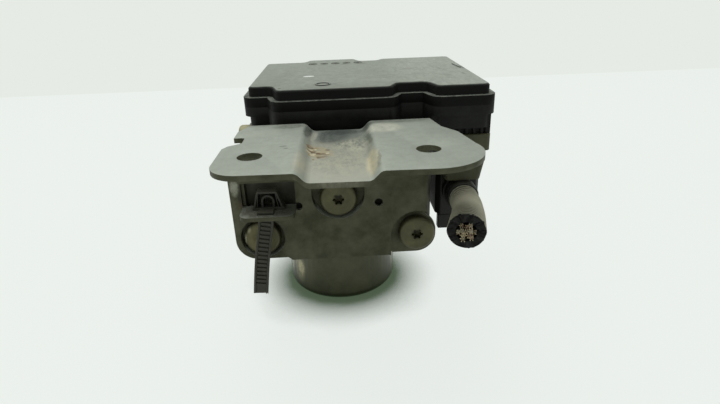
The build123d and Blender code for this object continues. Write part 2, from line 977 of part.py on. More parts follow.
def connector_pins():
    """Tinned pins from the board down into the plug."""
    low = unit_low - pin_drop
    return together([pin(x, y, low, board_low) for x, y in pin_places()])


def ecu_screws():
    """Screws that hold the control unit to the block, under its board."""
    screws = []
    top = floor_top + unit_screw_head_height
    for x, y in unit_screw_places():
        screw = disc(unit_screw_radius, floor_top - unit_screw_length, floor_top, x, y)
        head = disc(unit_screw_head, floor_top, top, x, y)
        head -= Pos(x, y, top) * six_lobe(small_socket_radius, small_socket_depth)
        screws.append(screw + head)
    return together(screws)


# ---------------------------------------------------------------- plug
def plug_body():
    """Plug moulding that slides over the header, with a collar round its top."""
    outside = header_width / 2 + free_gap + skirt_wall
    collar = header_box(free_gap + skirt_wall, skirt_top - skirt_collar, skirt_top)
    collar = fillet(collar.edges().filter_by(Axis.Z), plug_corner)
    taper_top = plug_low + plug_taper_height
    waist = header_box(free_gap + skirt_wall - plug_waist, taper_top, skirt_top - skirt_collar)
    waist = fillet(waist.edges().filter_by(Axis.Z), plug_corner)
    body = collar + waist + plug_tail(taper_top)
    body -= header_box(free_gap, header_low - free_gap, skirt_top)
    core_top_z = unit_low - plug_core_gap
    core = header_box(-header_wall - free_gap, header_low - free_gap, core_top_z)
    core -= seal_ring(0)
    for x, y in pin_places():
        core -= pin(x, y, unit_low - pin_drop - plug_core_gap, core_top_z, pin_slack)
    body += core
    for side in (-1, 1):
        pivot_end = header_x + side * (outside + free_gap + lever_arm)
        inside = header_x + side * (outside - plug_waist - lever_pin_root)
        body += rod_x(lever_pin_radius, inside, pivot_end, lever_pivot_y, lever_pivot_z)
    return body


def plug_tail(top):
    """Lower part of the plug, which narrows towards its rear cover."""
    grow = free_gap + skirt_wall - plug_waist
    width = header_width + 2 * grow
    length = header_length + 2 * grow
    taper = 2 * plug_taper
    upper = Pos(header_x, header_y, top) * RectangleRounded(width, length, plug_corner)
    lower = Pos(header_x, header_y, plug_low) * RectangleRounded(width - taper, length - taper, plug_corner)
    return loft([lower, upper], ruled=True)


def seal_ring(slack):
    """The plug's peripheral seal between its core and the header's wall."""
    low = unit_low - header_wall - seal_height - seal_drop
    outer = header_box(-header_wall - slack, low, low + seal_height)
    return outer - header_box(-header_wall - free_gap - seal_depth, low, low + seal_height)


def plug_seal():
    """Silicone seal round the plug's core."""
    return seal_ring(0)


def cover_side():
    """Side view of the plug's rear cover: front face, sloping belly and back."""
    half_y = header_length / 2 + free_gap + skirt_wall - plug_waist
    front = header_y - half_y + plug_cover_front
    back = header_y + half_y - plug_taper
    knee = plug_low - plug_cover_height / 5
    return [
        (front, plug_low),
        (front, cover_low + plug_cover_height / 3),
        (front + plug_cover_toe, cover_low),
        (lever_pivot_y + plug_cover_heel, cover_low),
        (back, knee),
        (back, plug_low),
    ]


def plug_cover():
    """Hollow rear cover of the plug, with the round outlet for the harness."""
    half_x = header_width / 2 + free_gap + skirt_wall - plug_waist - plug_taper
    profile = Plane.YZ * Polygon(*cover_side(), align=None)
    cover = Pos(header_x - half_x, 0, 0) * extrude(profile, 2 * half_x)
    cover = fillet(cover.edges().filter_by(Axis.X).sort_by(Axis.Z)[:2], plug_cover_edge)
    front = cover_side()[0][0]
    foot_top = cover_side()[1][1]
    cover += box_between(header_x - half_x, header_x + half_x, front, front + plug_foot,
                         cover_low - plug_foot_height, foot_top)
    inner = Plane.YZ * offset(Polygon(*cover_side(), align=None), -plug_cover_wall)
    room = Pos(header_x - half_x + plug_cover_wall, 0, 0) * extrude(inner, 2 * (half_x - plug_cover_wall))
    cover -= room
    x, y, z = harness_exit()
    cover += rod_y(gland_radius, y, y + gland_length + plug_cover_wall, x, z)
    return cover - rod_y(harness_radius - harness_wall, y, y + gland_length + 2 * plug_cover_wall, x, z)


def lock_lever():
    """U-shaped lever that locks the plug, hinged on the plug's two side pins."""
    outside = header_width / 2 + free_gap + skirt_wall + free_gap
    arms = []
    bar_y = lever_pivot_y + lever_reach
    bar_z = lever_pivot_z + lever_bar_rise
    for side in (-1, 1):
        low_x = header_x + side * outside
        high_x = header_x + side * (outside + lever_arm)
        arm = rod_x(lever_hub, low_x, high_x, lever_pivot_y, lever_pivot_z)
        points = [
            (lever_pivot_y - lever_web_half, lever_pivot_z + lever_hub - lever_web_inset),
            (lever_pivot_y + lever_web_half, lever_pivot_z - lever_hub + lever_web_inset),
            (bar_y, bar_z - lever_bar_height / 2),
            (bar_y, bar_z + lever_bar_height / 2),
        ]
        web = extrude(Plane.YZ * Polygon(*points, align=None), lever_arm)
        arm += Pos(min(low_x, high_x), 0, 0) * web
        bore = lever_pin_radius + running_gap
        arms.append(arm - rod_x(bore, low_x, high_x, lever_pivot_y, lever_pivot_z))
    half = outside + lever_arm
    bar = box_between(header_x - half, header_x + half, bar_y, bar_y + lever_bar,
                      bar_z - lever_bar_height / 2, bar_z + lever_bar_height / 2)
    bar = fillet(bar.edges().filter_by(Axis.X), lever_bar_edge)
    return arms[0] + arms[1] + bar


# ---------------------------------------------------------------- cable tie
def tie_clip():
    """Arrow-shaped clip on the tab: a foot, two slit wings and an arch in the middle."""
    half_foot = clip_foot / 2
    half_top = clip_top / 2
    front = Polygon((-half_foot, 0), (half_foot, 0), (half_foot, clip_plate), (half_top, clip_height),
                    (-half_top, clip_height), (-half_foot, clip_plate), align=None)
    arch_low = clip_plate
    spring_line = clip_arch_height - clip_arch / 2
    front -= Pos(0, arch_low + spring_line / 2) * Rectangle(clip_arch, spring_line)
    front -= Pos(0, arch_low + spring_line) * Circle(clip_arch / 2)
    for side in (-1, 1):
        slit = Pos(0, clip_slit_length / 2) * Rectangle(clip_slit, clip_slit_length)
        front -= Pos(side * (clip_arch / 2 + clip_wing), clip_plate) * Rot(0, 0, side * clip_lean_deg) * slit
    clip_front = plate_front - clip_reach
    half_strap = strap_width / 2
    tongue = box_between(strap_x - half_strap, strap_x + half_strap, strap_y - strap_thickness / 2,
                         clip_front, tab_top, tab_top + strap_thickness)
    return tongue + Pos(clip_x, clip_front, tab_top) * extrude(Plane.XZ * front, clip_depth, dir=(0, 1, 0))


def tie_strap():
    """Toothed strap that hangs from the clip through the tab's slot."""
    half = strap_thickness / 2
    length = strap_length
    strap = box_between(-strap_width / 2, strap_width / 2, -half, half, -length, 0)
    teeth = int((length - 3 * strap_tooth_pitch) / strap_tooth_pitch)
    half_tooth = strap_width / 2 - strap_rim
    for number in range(teeth):
        z = -length + (number + 1) * strap_tooth_pitch
        top = z + strap_tooth_pitch / 2
        strap -= box_between(-half_tooth, half_tooth, -half - 1, -half + strap_tooth, z, top)
    neck_top = sheet + strap_thickness
    neck = box_between(-strap_width / 2, strap_width / 2, -half, half, -half, neck_top)
    return Pos(strap_x, strap_y, tab_top - sheet) * (Rot(0, strap_lean_deg, 0) * strap + neck)


def cable_tie():
    """Cable tie with its clip, moulded in one piece and cut off below."""
    return tie_clip() + tie_strap()


# ---------------------------------------------------------------- harness stub
def harness_exit():
    """Where the harness leaves the plug's outlet."""
    front = cover_side()[0][0]
    return (harness_x, front - gland_length, plug_low + harness_rise)


def harness_route():
    """Points of the stub's centre line, from the outlet to the cut end."""
    x, y, z = harness_exit()
    return [(x, y, z), (x, y - 16, z), (x - 5.2, y - 38, z + 5.4), (x - 11.2, y - 60, z + 12.6),
            (x - 17.6, y - 82, z + 18.4)]


def harness_path():
    """The stub's centre line: straight runs joined by tangent arcs."""
    points = [Vector(*p) for p in harness_route()]
    radii = []
    for before, here, after in zip(points, points[1:], points[2:]):
        turn = radians((here - before).get_angle(after - here))
        run = min((here - before).length, (after - here).length)
        radii.append(0.45 * run / tan(turn / 2))
    return FilletPolyline(*points, radius=radii)


def harness_tube(outer):
    """A round solid along the stub's centre line."""
    path = harness_path()
    return sweep(Plane(path @ 0, z_dir=path % 0) * Circle(outer), path)


def harness_sleeve():
    """Ribbed sleeve over the wires, cut off at its far end."""
    return harness_tube(harness_radius) - harness_tube(harness_radius - harness_wall)


def harness_wires():
    """The wires in the sleeve, as one bundle."""
    return harness_tube(harness_radius - harness_wall - wire_gap)


# ---------------------------------------------------------------- bracket
def extrude_y(sketch, y0, y1):
    """A front-view sketch made solid between two depths."""
    return Pos(0, y0, 0) * extrude(Plane.XZ * sketch, y1 - y0, dir=(0, 1, 0))


def plate_outline():
    """Front view of the bracket's upright plate."""
    shoulder = shelf_height - bend_radius
    lobe_low = plate_right_low + lobe_radius
    lobe_high = block_low + right_screw_rise
    points = [
        (shelf_back_left, shoulder),
        (plate_left, plate_neck),
        (plate_left, plate_side_low),
        (-plate_mid_half - plate_step, plate_side_low),
        (-plate_mid_half, plate_mid_low),
        (plate_mid_half, plate_mid_low),
        (plate_mid_half + plate_step, plate_right_low),
        (side_screw_x, plate_right_low),
        (plate_right, lobe_low),
        (plate_right, plate_neck),
        (shelf_back_right, shoulder),
    ]
    outline = Polygon(*points, align=None)
    outline = fillet(outline.vertices().group_by(Axis.X)[0].sort_by(Axis.Y)[0], plate_corner)
    rise = lobe_high - lobe_low
    outline += Pos(side_screw_x, lobe_low + rise / 2) * Rectangle(2 * lobe_radius, rise)
    for z in (lobe_low, lobe_high):
        outline += Pos(side_screw_x, z) * Circle(lobe_radius)
    return outline


def recess_outlines(grow):
    """Front view of the three pockets round the screws: a long hole, a round one and an open corner."""
    (x0, z0), (x1, z1), (x2, z2) = bracket_screw_places()
    r0 = centre_recess_radius + grow
    r1 = left_recess_radius + grow
    r2 = right_recess_radius + grow
    below = z2 - plate_right_low + r2
    low = z0 + centre_recess_low
    centre = Pos(x0, low) * Circle(r0) + Pos(x0, low + centre_recess_rise) * Circle(r0)
    centre += Pos(x0, low + centre_recess_rise / 2) * Rectangle(2 * r0, centre_recess_rise)
    left = Pos(x1 + left_recess_in, z1 + left_recess_rise) * Circle(r1)
    right = Pos(x2, z2) * Circle(r2) + Pos(x2, z2 - below / 2) * Rectangle(2 * r2, below)
    return centre + left + right


def strip_profile():
    """Cross-section of the sheet with its stiffening channel, top face at zero."""
    top = channel_top / 2
    floor = channel_floor / 2
    half = shelf_right_ear + max(shelf_hole_right_x, -shelf_left)
    line = [(-half, 0), (channel_x - top, 0), (channel_x - floor, -channel_depth),
            (channel_x + floor, -channel_depth), (channel_x + top, 0), (half, 0)]
    under = [(x, z - sheet) for x, z in reversed(line)]
    profile = Polygon(*line, *under, align=None)
    bends = [corner for corner in profile.vertices() if abs(corner.X) < channel_top]
    return fillet(bends, channel_round)


def shelf_plan():
    """The shelf seen from above, with a rounded ear on each side."""
    root = plate_back - bend_radius
    front = plate_front - shelf_reach
    shoulder = plate_front - shelf_shoulder_reach
    ear = shelf_right_ear
    points = [
        (shelf_back_left, root),
        (shelf_waist_left, root - shelf_waist_reach),
        (shelf_waist_left, shoulder + shelf_shoulder_slope),
        (shelf_left, shoulder),
        (shelf_left, front + shelf_front_skew),
        (shelf_hole_right_x, front),
        (shelf_hole_right_x, front + ear),
        (shelf_hole_right_x + ear, front + ear),
        (shelf_wing_right, plate_front - shelf_wing_reach),
        (shelf_neck_right, plate_front - shelf_neck_reach),
        (shelf_back_right, root),
    ]
    plan = Polygon(*points, align=None)
    corner = plan.vertices().group_by(Axis.X)[0].sort_by(Axis.Y)
    plan = fillet(corner[0], shelf_left_corner)
    plan += Pos(shelf_hole_right_x, front + ear) * Circle(ear)
    for x in (shelf_hole_left_x, shelf_hole_right_x):
        plan -= Pos(x, plate_front - shelf_hole_reach) * Circle(shelf_hole_radius)
    return plan - edge_notch()


def edge_notch():
    """Notch in the shelf's left edge, square at its back end and sloping out at its front end."""
    back = plate_front - edge_notch_reach
    deep = shelf_waist_left + edge_notch_depth
    outside = 2 * shelf_left - shelf_waist_left
    points = [
        (outside, back),
        (deep, back),
        (deep, back - edge_notch_inner),
        (outside, back - edge_notch_width),
    ]
    notch = Polygon(*points, align=None)
    return fillet(notch.vertices().group_by(Axis.X)[-1], edge_notch_edge)


def bent_sheet():
    """The shelf and the bend that joins it to the plate, with the channel pressed through both."""
    root = plate_back - bend_radius
    shoulder = shelf_height - bend_radius
    front = plate_front - shelf_reach
    profile = Pos(0, shelf_height) * strip_profile()
    shelf = extrude_y(profile, front - 1, root)
    shelf &= Pos(0, 0, shelf_height - 2 * bend_radius) * extrude(shelf_plan(), 3 * bend_radius)
    turned = revolve(Pos(0, root, 0) * (Plane.XZ * profile), Axis((0, root, shoulder), (-1, 0, 0)), 90)
    turned &= box_between(shelf_back_left, shelf_back_right, root, plate_back, shoulder, shelf_height)
    return shelf + turned


def channel_ridge_shape():
    """Where the channel runs out on the plate, as the solid in front of the plate's back face."""
    shoulder = shelf_height - bend_radius
    top = channel_top / 2
    floor = channel_floor / 2
    nose = plate_front - channel_depth
    section = [(channel_x - top, plate_front), (channel_x - floor, nose),
               (channel_x + floor, nose), (channel_x + top, plate_front)]
    low = shoulder - channel_ridge
    prism = Pos(0, 0, low) * extrude(Polygon(*section, align=None), channel_ridge)
    side = [(plate_front, low), (nose, low + channel_ridge / 2), (nose, shoulder), (plate_front, shoulder)]
    width = 2 * channel_top
    wedge = Pos(-width / 2, 0, 0) * extrude(Plane.YZ * Polygon(*side, align=None), width, dir=(1, 0, 0))
    return prism & wedge


def tab():
    """Small shelf cut from the plate and bent forward, with a slot for the tie's strap."""
    low = tab_top - sheet
    plan = box_between(tab_left, tab_right, plate_front - tab_reach, plate_back, low, tab_top)
    plan = fillet(plan.edges().filter_by(Axis.Z).group_by(Axis.Y)[0], tab_corner)
    half_x = strap_width / 2 + free_gap
    half_y = strap_thickness
    slot = box_between(-half_x, half_x, -half_y, half_y, low, tab_top)
    return plan - Pos(strap_x, strap_y, 0) * slot


def bracket():
    """Mounting bracket pressed from one sheet: plate, pockets, shelf, channel and tab."""
    outline = plate_outline()
    plate = extrude_y(outline, plate_front, plate_back)
    pockets = extrude_y(recess_outlines(sheet), plate_front, block_front)
    pockets &= extrude_y(outline, plate_front, block_front)
    hollow = extrude_y(recess_outlines(0), plate_front - 1, block_front - sheet)
    ridge = channel_ridge_shape()
    body = plate + ridge - Pos(0, sheet, 0) * ridge
    body += pockets
    body -= hollow
    for x, z in bracket_screw_places():
        body -= rod_y(bracket_screw_radius, block_front - sheet, block_front, x, z)
    for side in (-1, 1):
        body -= rod_y(locator_radius, plate_front, plate_back, side * locator_x, locator_z)
    body -= box_between(tab_left, tab_right, plate_front, plate_back, tab_top, tab_top + tab_window)
    return body + tab() + bent_sheet()


def bracket_screws():
    """Domed six-lobe screws through the pockets into the block."""
    screws = []
    seat = block_front - sheet
    for x, z in bracket_screw_places():
        shank = rod_y(bracket_screw_radius, seat, seat + bracket_screw_length, x, z)
        head = rod_y(bracket_screw_head, seat - bracket_screw_head_height, seat, x, z)
        head = fillet(head.edges().sort_by(Axis.Y)[0], bracket_screw_edge)
        socket = Rot(90, 0, 0) * six_lobe(lobe_socket_radius, lobe_socket_depth)
        screws.append(shank + head - Pos(x, seat - bracket_screw_head_height, z) * socket)
    return together(screws)


nodes = {
    "motor_can": motor_can(),
    "field_magnets": field_magnets(),
    "rear_bearing": rear_bearing(),
    "rotor_shaft": rotor_shaft(),
    "armature_core": armature_core(),
    "armature_winding": armature_winding(),
    "commutator": commutator(),
    "motor_end_plate": motor_end_plate(),
    "brush_front": brush(-1),
    "brush_back": brush(1),
    "brush_spring_front": brush_spring(-1),
    "brush_spring_back": brush_spring(1),
    "front_bearing": front_bearing(),
    "motor_screws": motor_screws(),
    "eccentric_ring": eccentric_ring(),
    "pump_piston_left": pump_piston(-1),
    "pump_piston_right": pump_piston(1),
    "piston_spring_left": piston_spring(-1),
    "piston_spring_right": piston_spring(1),
    "pump_plug_left": pump_plug(-1),
    "pump_plug_right": pump_plug(1),
    "accumulator_piston_left": accumulator_piston(-1),
    "accumulator_piston_right": accumulator_piston(1),
    "accumulator_spring_left": accumulator_spring(-1),
    "accumulator_spring_right": accumulator_spring(1),
    "accumulator_cap_left": accumulator_cover(-1),
    "accumulator_cap_right": accumulator_cover(1),
    "valve_block": valve_block(),
    "valve_bodies": valve_bodies(),
    "valve_springs": valve_springs(),
    "valve_coils": valve_coils(),
    "side_port_plug": side_port_plug(),
    "ecu_housing": ecu_housing(),
    "ecu_gasket": ecu_gasket(),
    "ecu_cover": ecu_cover(),
    "circuit_board": circuit_board(),
    "board_components": board_components(),
    "connector_pins": connector_pins(),
    "ecu_screws": ecu_screws(),
    "plug_body": plug_body(),
    "plug_seal": plug_seal(),
    "plug_cover": plug_cover(),
    "lock_lever": lock_lever(),
    "harness_sleeve": harness_sleeve(),
    "harness_wires": harness_wires(),
    "bracket": bracket(),
    "bracket_screws": bracket_screws(),
    "cable_tie": cable_tie(),
}
for number, (valve_x, valve_y) in enumerate(valve_places(), 1):
    nodes[f"valve_plunger_{number}"] = valve_plunger(valve_x, valve_y)

os.makedirs("parts", exist_ok=True)
for name, shape in nodes.items():
    export_step(shape, f"parts/{name}.step")
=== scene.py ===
import math
import random

import bmesh
import bpy
from mathutils import Matrix, Vector


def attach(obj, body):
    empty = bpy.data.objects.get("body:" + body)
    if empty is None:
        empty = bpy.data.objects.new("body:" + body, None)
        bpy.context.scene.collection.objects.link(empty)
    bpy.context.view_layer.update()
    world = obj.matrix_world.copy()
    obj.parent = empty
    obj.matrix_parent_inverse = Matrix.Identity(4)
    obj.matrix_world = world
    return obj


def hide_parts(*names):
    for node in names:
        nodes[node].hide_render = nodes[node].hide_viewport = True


# Looks of an anti-lock brake module that stands on its motor: motor, metal block, control unit
# with its wiring stub, and a pressed bracket. Sizes are in millimetres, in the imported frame.
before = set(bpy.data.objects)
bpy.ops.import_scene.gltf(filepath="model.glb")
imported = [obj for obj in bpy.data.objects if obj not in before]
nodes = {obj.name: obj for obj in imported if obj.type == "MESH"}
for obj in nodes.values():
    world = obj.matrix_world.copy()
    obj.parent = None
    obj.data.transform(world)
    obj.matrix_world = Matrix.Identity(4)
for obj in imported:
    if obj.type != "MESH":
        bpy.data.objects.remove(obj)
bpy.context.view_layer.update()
MM = 0.001

# ---------------------------------------------------------------- camera
# A short lens stands in front of the bracket and looks down at the shelf. It is turned and rolled
# by two degrees.
camera_place = (2.65, -257.35, 158.1)
camera_pitch, camera_turn = math.radians(66.4), math.radians(-2.0)
lens = bpy.data.cameras.new("camera")
lens.sensor_width = 36.0
lens.lens = 24.75
lens.clip_start = 0.01
camera = bpy.data.objects.new("camera", lens)
aim = Matrix.Rotation(camera_turn, 4, "Z") @ Matrix.Rotation(camera_pitch, 4, "X")
aim = aim @ Matrix.Rotation(camera_turn, 4, "Z")
camera.matrix_world = Matrix.Translation(Vector(camera_place) * MM) @ aim
bpy.context.collection.objects.link(camera)
bpy.context.scene.camera = camera
bpy.context.scene.view_settings.view_transform = "Standard"


# ---------------------------------------------------------------- motor can
# A deep-drawn steel cup, zinc plated and dulled to olive. Salt has left cream crusts high on its
# left side and low on its right. One small crust high on its right is painted extra bright as a
# highlight, and two small dents near its bottom edge are only painted shade.
def colour(text):
    """Linear colour of an sRGB hex code."""
    parts = [int(text[i:i + 2], 16) / 255 for i in (1, 3, 5)]
    return tuple(p / 12.92 if p <= 0.04045 else ((p + 0.055) / 1.055) ** 2.4 for p in parts) + (1.0,)


def add(tree, kind, inputs=None, **settings):
    """Add one shader node, set or link its inputs, and give back its outputs."""
    node = tree.nodes.new("ShaderNode" + kind)
    for name, value in settings.items():
        setattr(node, name, value)
    for name, value in (inputs or {}).items():
        if isinstance(value, bpy.types.NodeSocket):
            tree.links.new(value, node.inputs[name])
        else:
            node.inputs[name].default_value = value
    return node.outputs


def finish_of(name, dark, light, roughness=0.5, metallic=0.0, patch=16.0, grain=0.7, bump=0.15,
              specular=0.5, coat=0.0, dust="#8f9186", dust_on=0.0, dust_from=0.6, dust_all=0.0,
              marks=(), ragged=4.0, marks_from=-2.0):
    """Two mottled tones under dust and single marks, with a fine grain in gloss and relief.

    patch and grain are sizes in millimetres, and grain is drawn several times as coarse as the real
    one, so that it shows. dust_on covers what looks up more than dust_from, dust_all the rest. A
    mark is its middle, its half sizes, its turn in degrees, tint and strength, and its rim wanders
    by about ragged millimetres. A negative strength fills only the places that other marks leave
    thin. Marks show on what looks up more than marks_from.
    """
    made = bpy.data.materials.new(name)
    made.use_nodes = True
    tree = made.node_tree
    where = add(tree, "TexCoord")
    place = where["Object"]
    mottle = add(tree, "TexNoise", {"Vector": place, "Scale": 1 / (patch * MM), "Detail": 5.0,
                                    "Roughness": 0.6})
    mottle = add(tree, "MapRange", {"Value": mottle["Fac"], "From Min": 0.35, "From Max": 0.68})
    tone = add(tree, "Mix", {0: mottle["Result"], 6: colour(dark), 7: colour(light)}, data_type="RGBA")[2]
    if dust_on or dust_all:
        up = add(tree, "SeparateXYZ", {"Vector": where["Normal"]})["Z"]
        film = add(tree, "MapRange", {"Value": up, "From Min": dust_from - 0.15,
                                      "From Max": dust_from + 0.15, "To Min": dust_all,
                                      "To Max": dust_on}, interpolation_type="SMOOTHSTEP")
        thin = add(tree, "TexNoise", {"Vector": place, "Scale": 2.5 / (patch * MM), "Detail": 6.0,
                                      "Roughness": 0.7})
        thin = add(tree, "MapRange", {"Value": thin["Fac"], "From Min": 0.25, "From Max": 0.7,
                                      "To Min": 0.82, "To Max": 1.08})
        film = add(tree, "Math", {0: film["Result"], 1: thin["Result"]}, operation="MULTIPLY")[0]
        tone = add(tree, "Mix", {0: film, 6: tone, 7: colour(dust)}, data_type="RGBA")[2]
    if marks:
        # rims wander and dirt breaks up over about 2.4 mm, the dirt in streaks from front to back
        breaks = 420.0
        drift = add(tree, "TexNoise", {"Vector": place, "Scale": breaks, "Detail": 6.0, "Roughness": 0.75})
        drift = add(tree, "VectorMath", {0: drift["Color"], 1: (0.5, 0.5, 0.5)}, operation="SUBTRACT")[0]
        wander = add(tree, "VectorMath", {0: drift, 1: Vector((ragged, ragged, ragged)) * MM, 2: place},
                     operation="MULTIPLY_ADD")[0]
        streaks = add(tree, "Mapping", {"Vector": place, "Scale": (1.0, 0.45, 0.6)})["Vector"]
        worn = add(tree, "TexNoise", {"Vector": streaks, "Scale": breaks, "Detail": 8.0, "Roughness": 0.85})
        worn = add(tree, "MapRange", {"Value": worn["Fac"], "From Min": 0.36, "From Max": 0.6,
                                      "To Min": 0.3, "To Max": 1.0})["Result"]
        bare = add(tree, "MapRange", {"Value": worn, "From Min": 0.9, "From Max": 0.3})["Result"]
        facing = add(tree, "SeparateXYZ", {"Vector": where["Normal"]})["Z"]
        facing = add(tree, "MapRange", {"Value": facing, "From Min": marks_from - 0.1,
                                        "From Max": marks_from + 0.1})["Result"]
    for middle, half, degrees, tint, strength in marks:
        near = add(tree, "Mapping", {"Vector": wander, "Location": Vector(middle) * MM,
                                     "Rotation": (0.0, 0.0, math.radians(degrees)),
                                     "Scale": Vector(half) * MM}, vector_type="TEXTURE")[0]
        away = add(tree, "VectorMath", {0: near}, operation="LENGTH")["Value"]
        spot = add(tree, "MapRange", {"Value": away, "From Min": 1.3, "From Max": 0.6,
                                      "To Max": abs(strength)}, interpolation_type="SMOOTHSTEP")["Result"]
        spot = add(tree, "Math", {0: spot, 1: worn if strength > 0 else bare}, operation="MULTIPLY")[0]
        spot = add(tree, "Math", {0: spot, 1: facing}, operation="MULTIPLY")[0]
        tone = add(tree, "Mix", {0: spot, 6: tone, 7: colour(tint)}, data_type="RGBA")[2]
    fine = add(tree, "TexNoise", {"Vector": place, "Scale": 1 / (grain * MM), "Detail": 2.0,
                                  "Roughness": 0.6})["Fac"]
    gloss = add(tree, "MapRange", {"Value": fine, "To Min": roughness - 0.08,
                                   "To Max": roughness + 0.08})["Result"]
    relief = add(tree, "Bump", {"Height": fine, "Distance": 0.0002, "Strength": bump})["Normal"]
    shader = tree.nodes["Principled BSDF"]
    tree.links.new(tone, shader.inputs["Base Color"])
    tree.links.new(gloss, shader.inputs["Roughness"])
    tree.links.new(relief, shader.inputs["Normal"])
    for socket, value in (("Metallic", metallic), ("Coat Weight", coat), ("Specular IOR Level", specular)):
        shader.inputs[socket].default_value = value
    return made


def break_edges(thing, width, segments=2, degrees=30, harden=False):
    """Round every edge sharper than degrees by a width in millimetres."""
    soft = thing.modifiers.new("edges", "BEVEL")
    soft.width = width * MM
    soft.segments = segments
    soft.limit_method = "ANGLE"
    soft.angle_limit = math.radians(degrees)
    soft.harden_normals = harden


def dress(material, *names, edge=0.0):
    """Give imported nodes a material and, where edge is set, welded and softly broken edges."""
    for name in names:
        thing = nodes[name]
        thing.data.materials.clear()
        thing.data.materials.append(material)
        if edge:
            for face in thing.data.polygons:
                face.use_smooth = True
            weld = thing.modifiers.new("weld", "WELD")
            weld.merge_threshold = 0.01 * MM
            break_edges(thing, edge, degrees=32, harden=True)


can_marks = [
    ((-24.0, -18.5, 16.0), (4.6, 4.6, 8.5), 0, "#8d8868", 0.8),
    ((-22.8, -19.6, 16.5), (2.0, 3.0, 4.2), 0, "#b7b08c", 0.9),
    ((-28.2, -11.0, 24.0), (1.6, 3.0, 14.0), 0, "#b9bca4", 0.9),
    ((28.0, -10.5, 23.0), (1.6, 3.4, 13.0), 0, "#8b8d77", 0.8),
    ((-25.8, -15.6, 31.0), (3.2, 3.6, 7.0), 0, "#d2cda8", 0.85),
    # a cream crust, painted extra bright as a highlight
    ((26.4, -14.0, 31.0), (1.6, 2.6, 3.4), 0, "#e6e0bc", 0.95),
    # painted shade for two dents near the bottom edge, which are not modelled
    ((-27.9, -11.0, 3.9), (1.2, 1.2, 1.0), 0, "#1d1d15", 0.8),
    ((26.6, -14.0, 11.5), (1.0, 1.4, 1.1), 0, "#1d1d15", 0.8),
]
# the zinc keeps a low olive sheen, which the chalky crusts break
can_steel = finish_of("zinc_plated_deep_drawn_steel", "#2c2d1c", "#42432d", roughness=0.36, metallic=0.75,
                      patch=14.0, coat=0.25, dust="#5a5b43", dust_all=0.2, dust_on=0.7, marks=can_marks,
                      ragged=3.0)
dress(can_steel, "motor_can", edge=0.4)
dress(can_steel, "accumulator_cap_left", "accumulator_cap_right")

# ---------------------------------------------------------------- motor inside
# Field magnets, laminated rotor with its copper winding and commutator, two spring-pressed
# brushes on a plastic end plate, and a ball bearing at the block.
# matt dark ferrite and graphite, warm bronze, bright ground steel, dull sheet, glossy enamel on the
# copper, and brown-black phenolic
ferrite = finish_of("sintered_ferrite", "#1d1e20", "#2e2f31", roughness=0.7, patch=5.0)
bronze = finish_of("sintered_bronze", "#6d5128", "#96743c", roughness=0.55, metallic=0.8, patch=3.3)
ground_steel = finish_of("ground_steel", "#8f9092", "#b9babc", roughness=0.2, metallic=1.0, patch=5.0,
                         bump=0.05)
sheet_stack = finish_of("lamination_steel", "#4a4b4d", "#6a6b6d", roughness=0.45, metallic=0.9, patch=3.3)
copper = finish_of("enamelled_copper", "#7a3414", "#b05a28", roughness=0.3, metallic=0.9, patch=2.5, coat=0.5)
graphite = finish_of("pressed_graphite", "#141414", "#262626", roughness=0.6, metallic=0.2, patch=3.3)
phenolic = finish_of("phenolic_moulding", "#15130f", "#241f19", roughness=0.5, patch=5.0)
wire_steel = finish_of("spring_steel", "#5c5d5f", "#87888a", roughness=0.3, metallic=1.0, patch=3.3)
dress(ferrite, "field_magnets")
dress(bronze, "rear_bearing")
dress(ground_steel, "rotor_shaft", "front_bearing", "eccentric_ring")
dress(sheet_stack, "armature_core")
dress(copper, "armature_winding", "commutator")
dress(graphite, "brush_front", "brush_back")
dress(phenolic, "motor_end_plate")
dress(wire_steel, *[name for name in nodes if "spring" in name])

# ---------------------------------------------------------------- valve block, pump and valves
# A sawn and machined aluminium block, dull and dirty outside. Turned pistons and plugs, ground
# valve bodies and wound valve coils sit in its bores, a steel plug with a cream crust in its side.
# sawn metal reads cloudy and dull, turned metal bright, moulded resin nearly black
block_metal = finish_of("machined_aluminium_tarnished", "#33332b", "#5c5b50", roughness=0.55, metallic=0.6,
                        patch=11.0, dust="#6f6e5f", dust_all=0.25, dust_on=0.6)
turned_metal = finish_of("turned_aluminium", "#8c8c88", "#b4b4b0", roughness=0.35, metallic=1.0, patch=5.0)
coil_resin = finish_of("glass_filled_PBT_coil", "#101110", "#1c1d1b", roughness=0.5, patch=5.0)
plug_steel = finish_of("zinc_plated_steel_crusted", "#55553f", "#8f8d70", roughness=0.6, metallic=0.4,
                       patch=3.0, dust="#a9a583", dust_all=0.45, dust_on=0.8)
dress(block_metal, "valve_block", edge=0.5)
dress(turned_metal, *[name for name in nodes if name.startswith(("pump_plug", "accumulator_piston"))])
dress(ground_steel, *[name for name in nodes if name.startswith(("pump_piston", "valve_plunger"))])
dress(ground_steel, "valve_bodies")
dress(coil_resin, "valve_coils")
dress(plug_steel, "side_port_plug", edge=0.3)

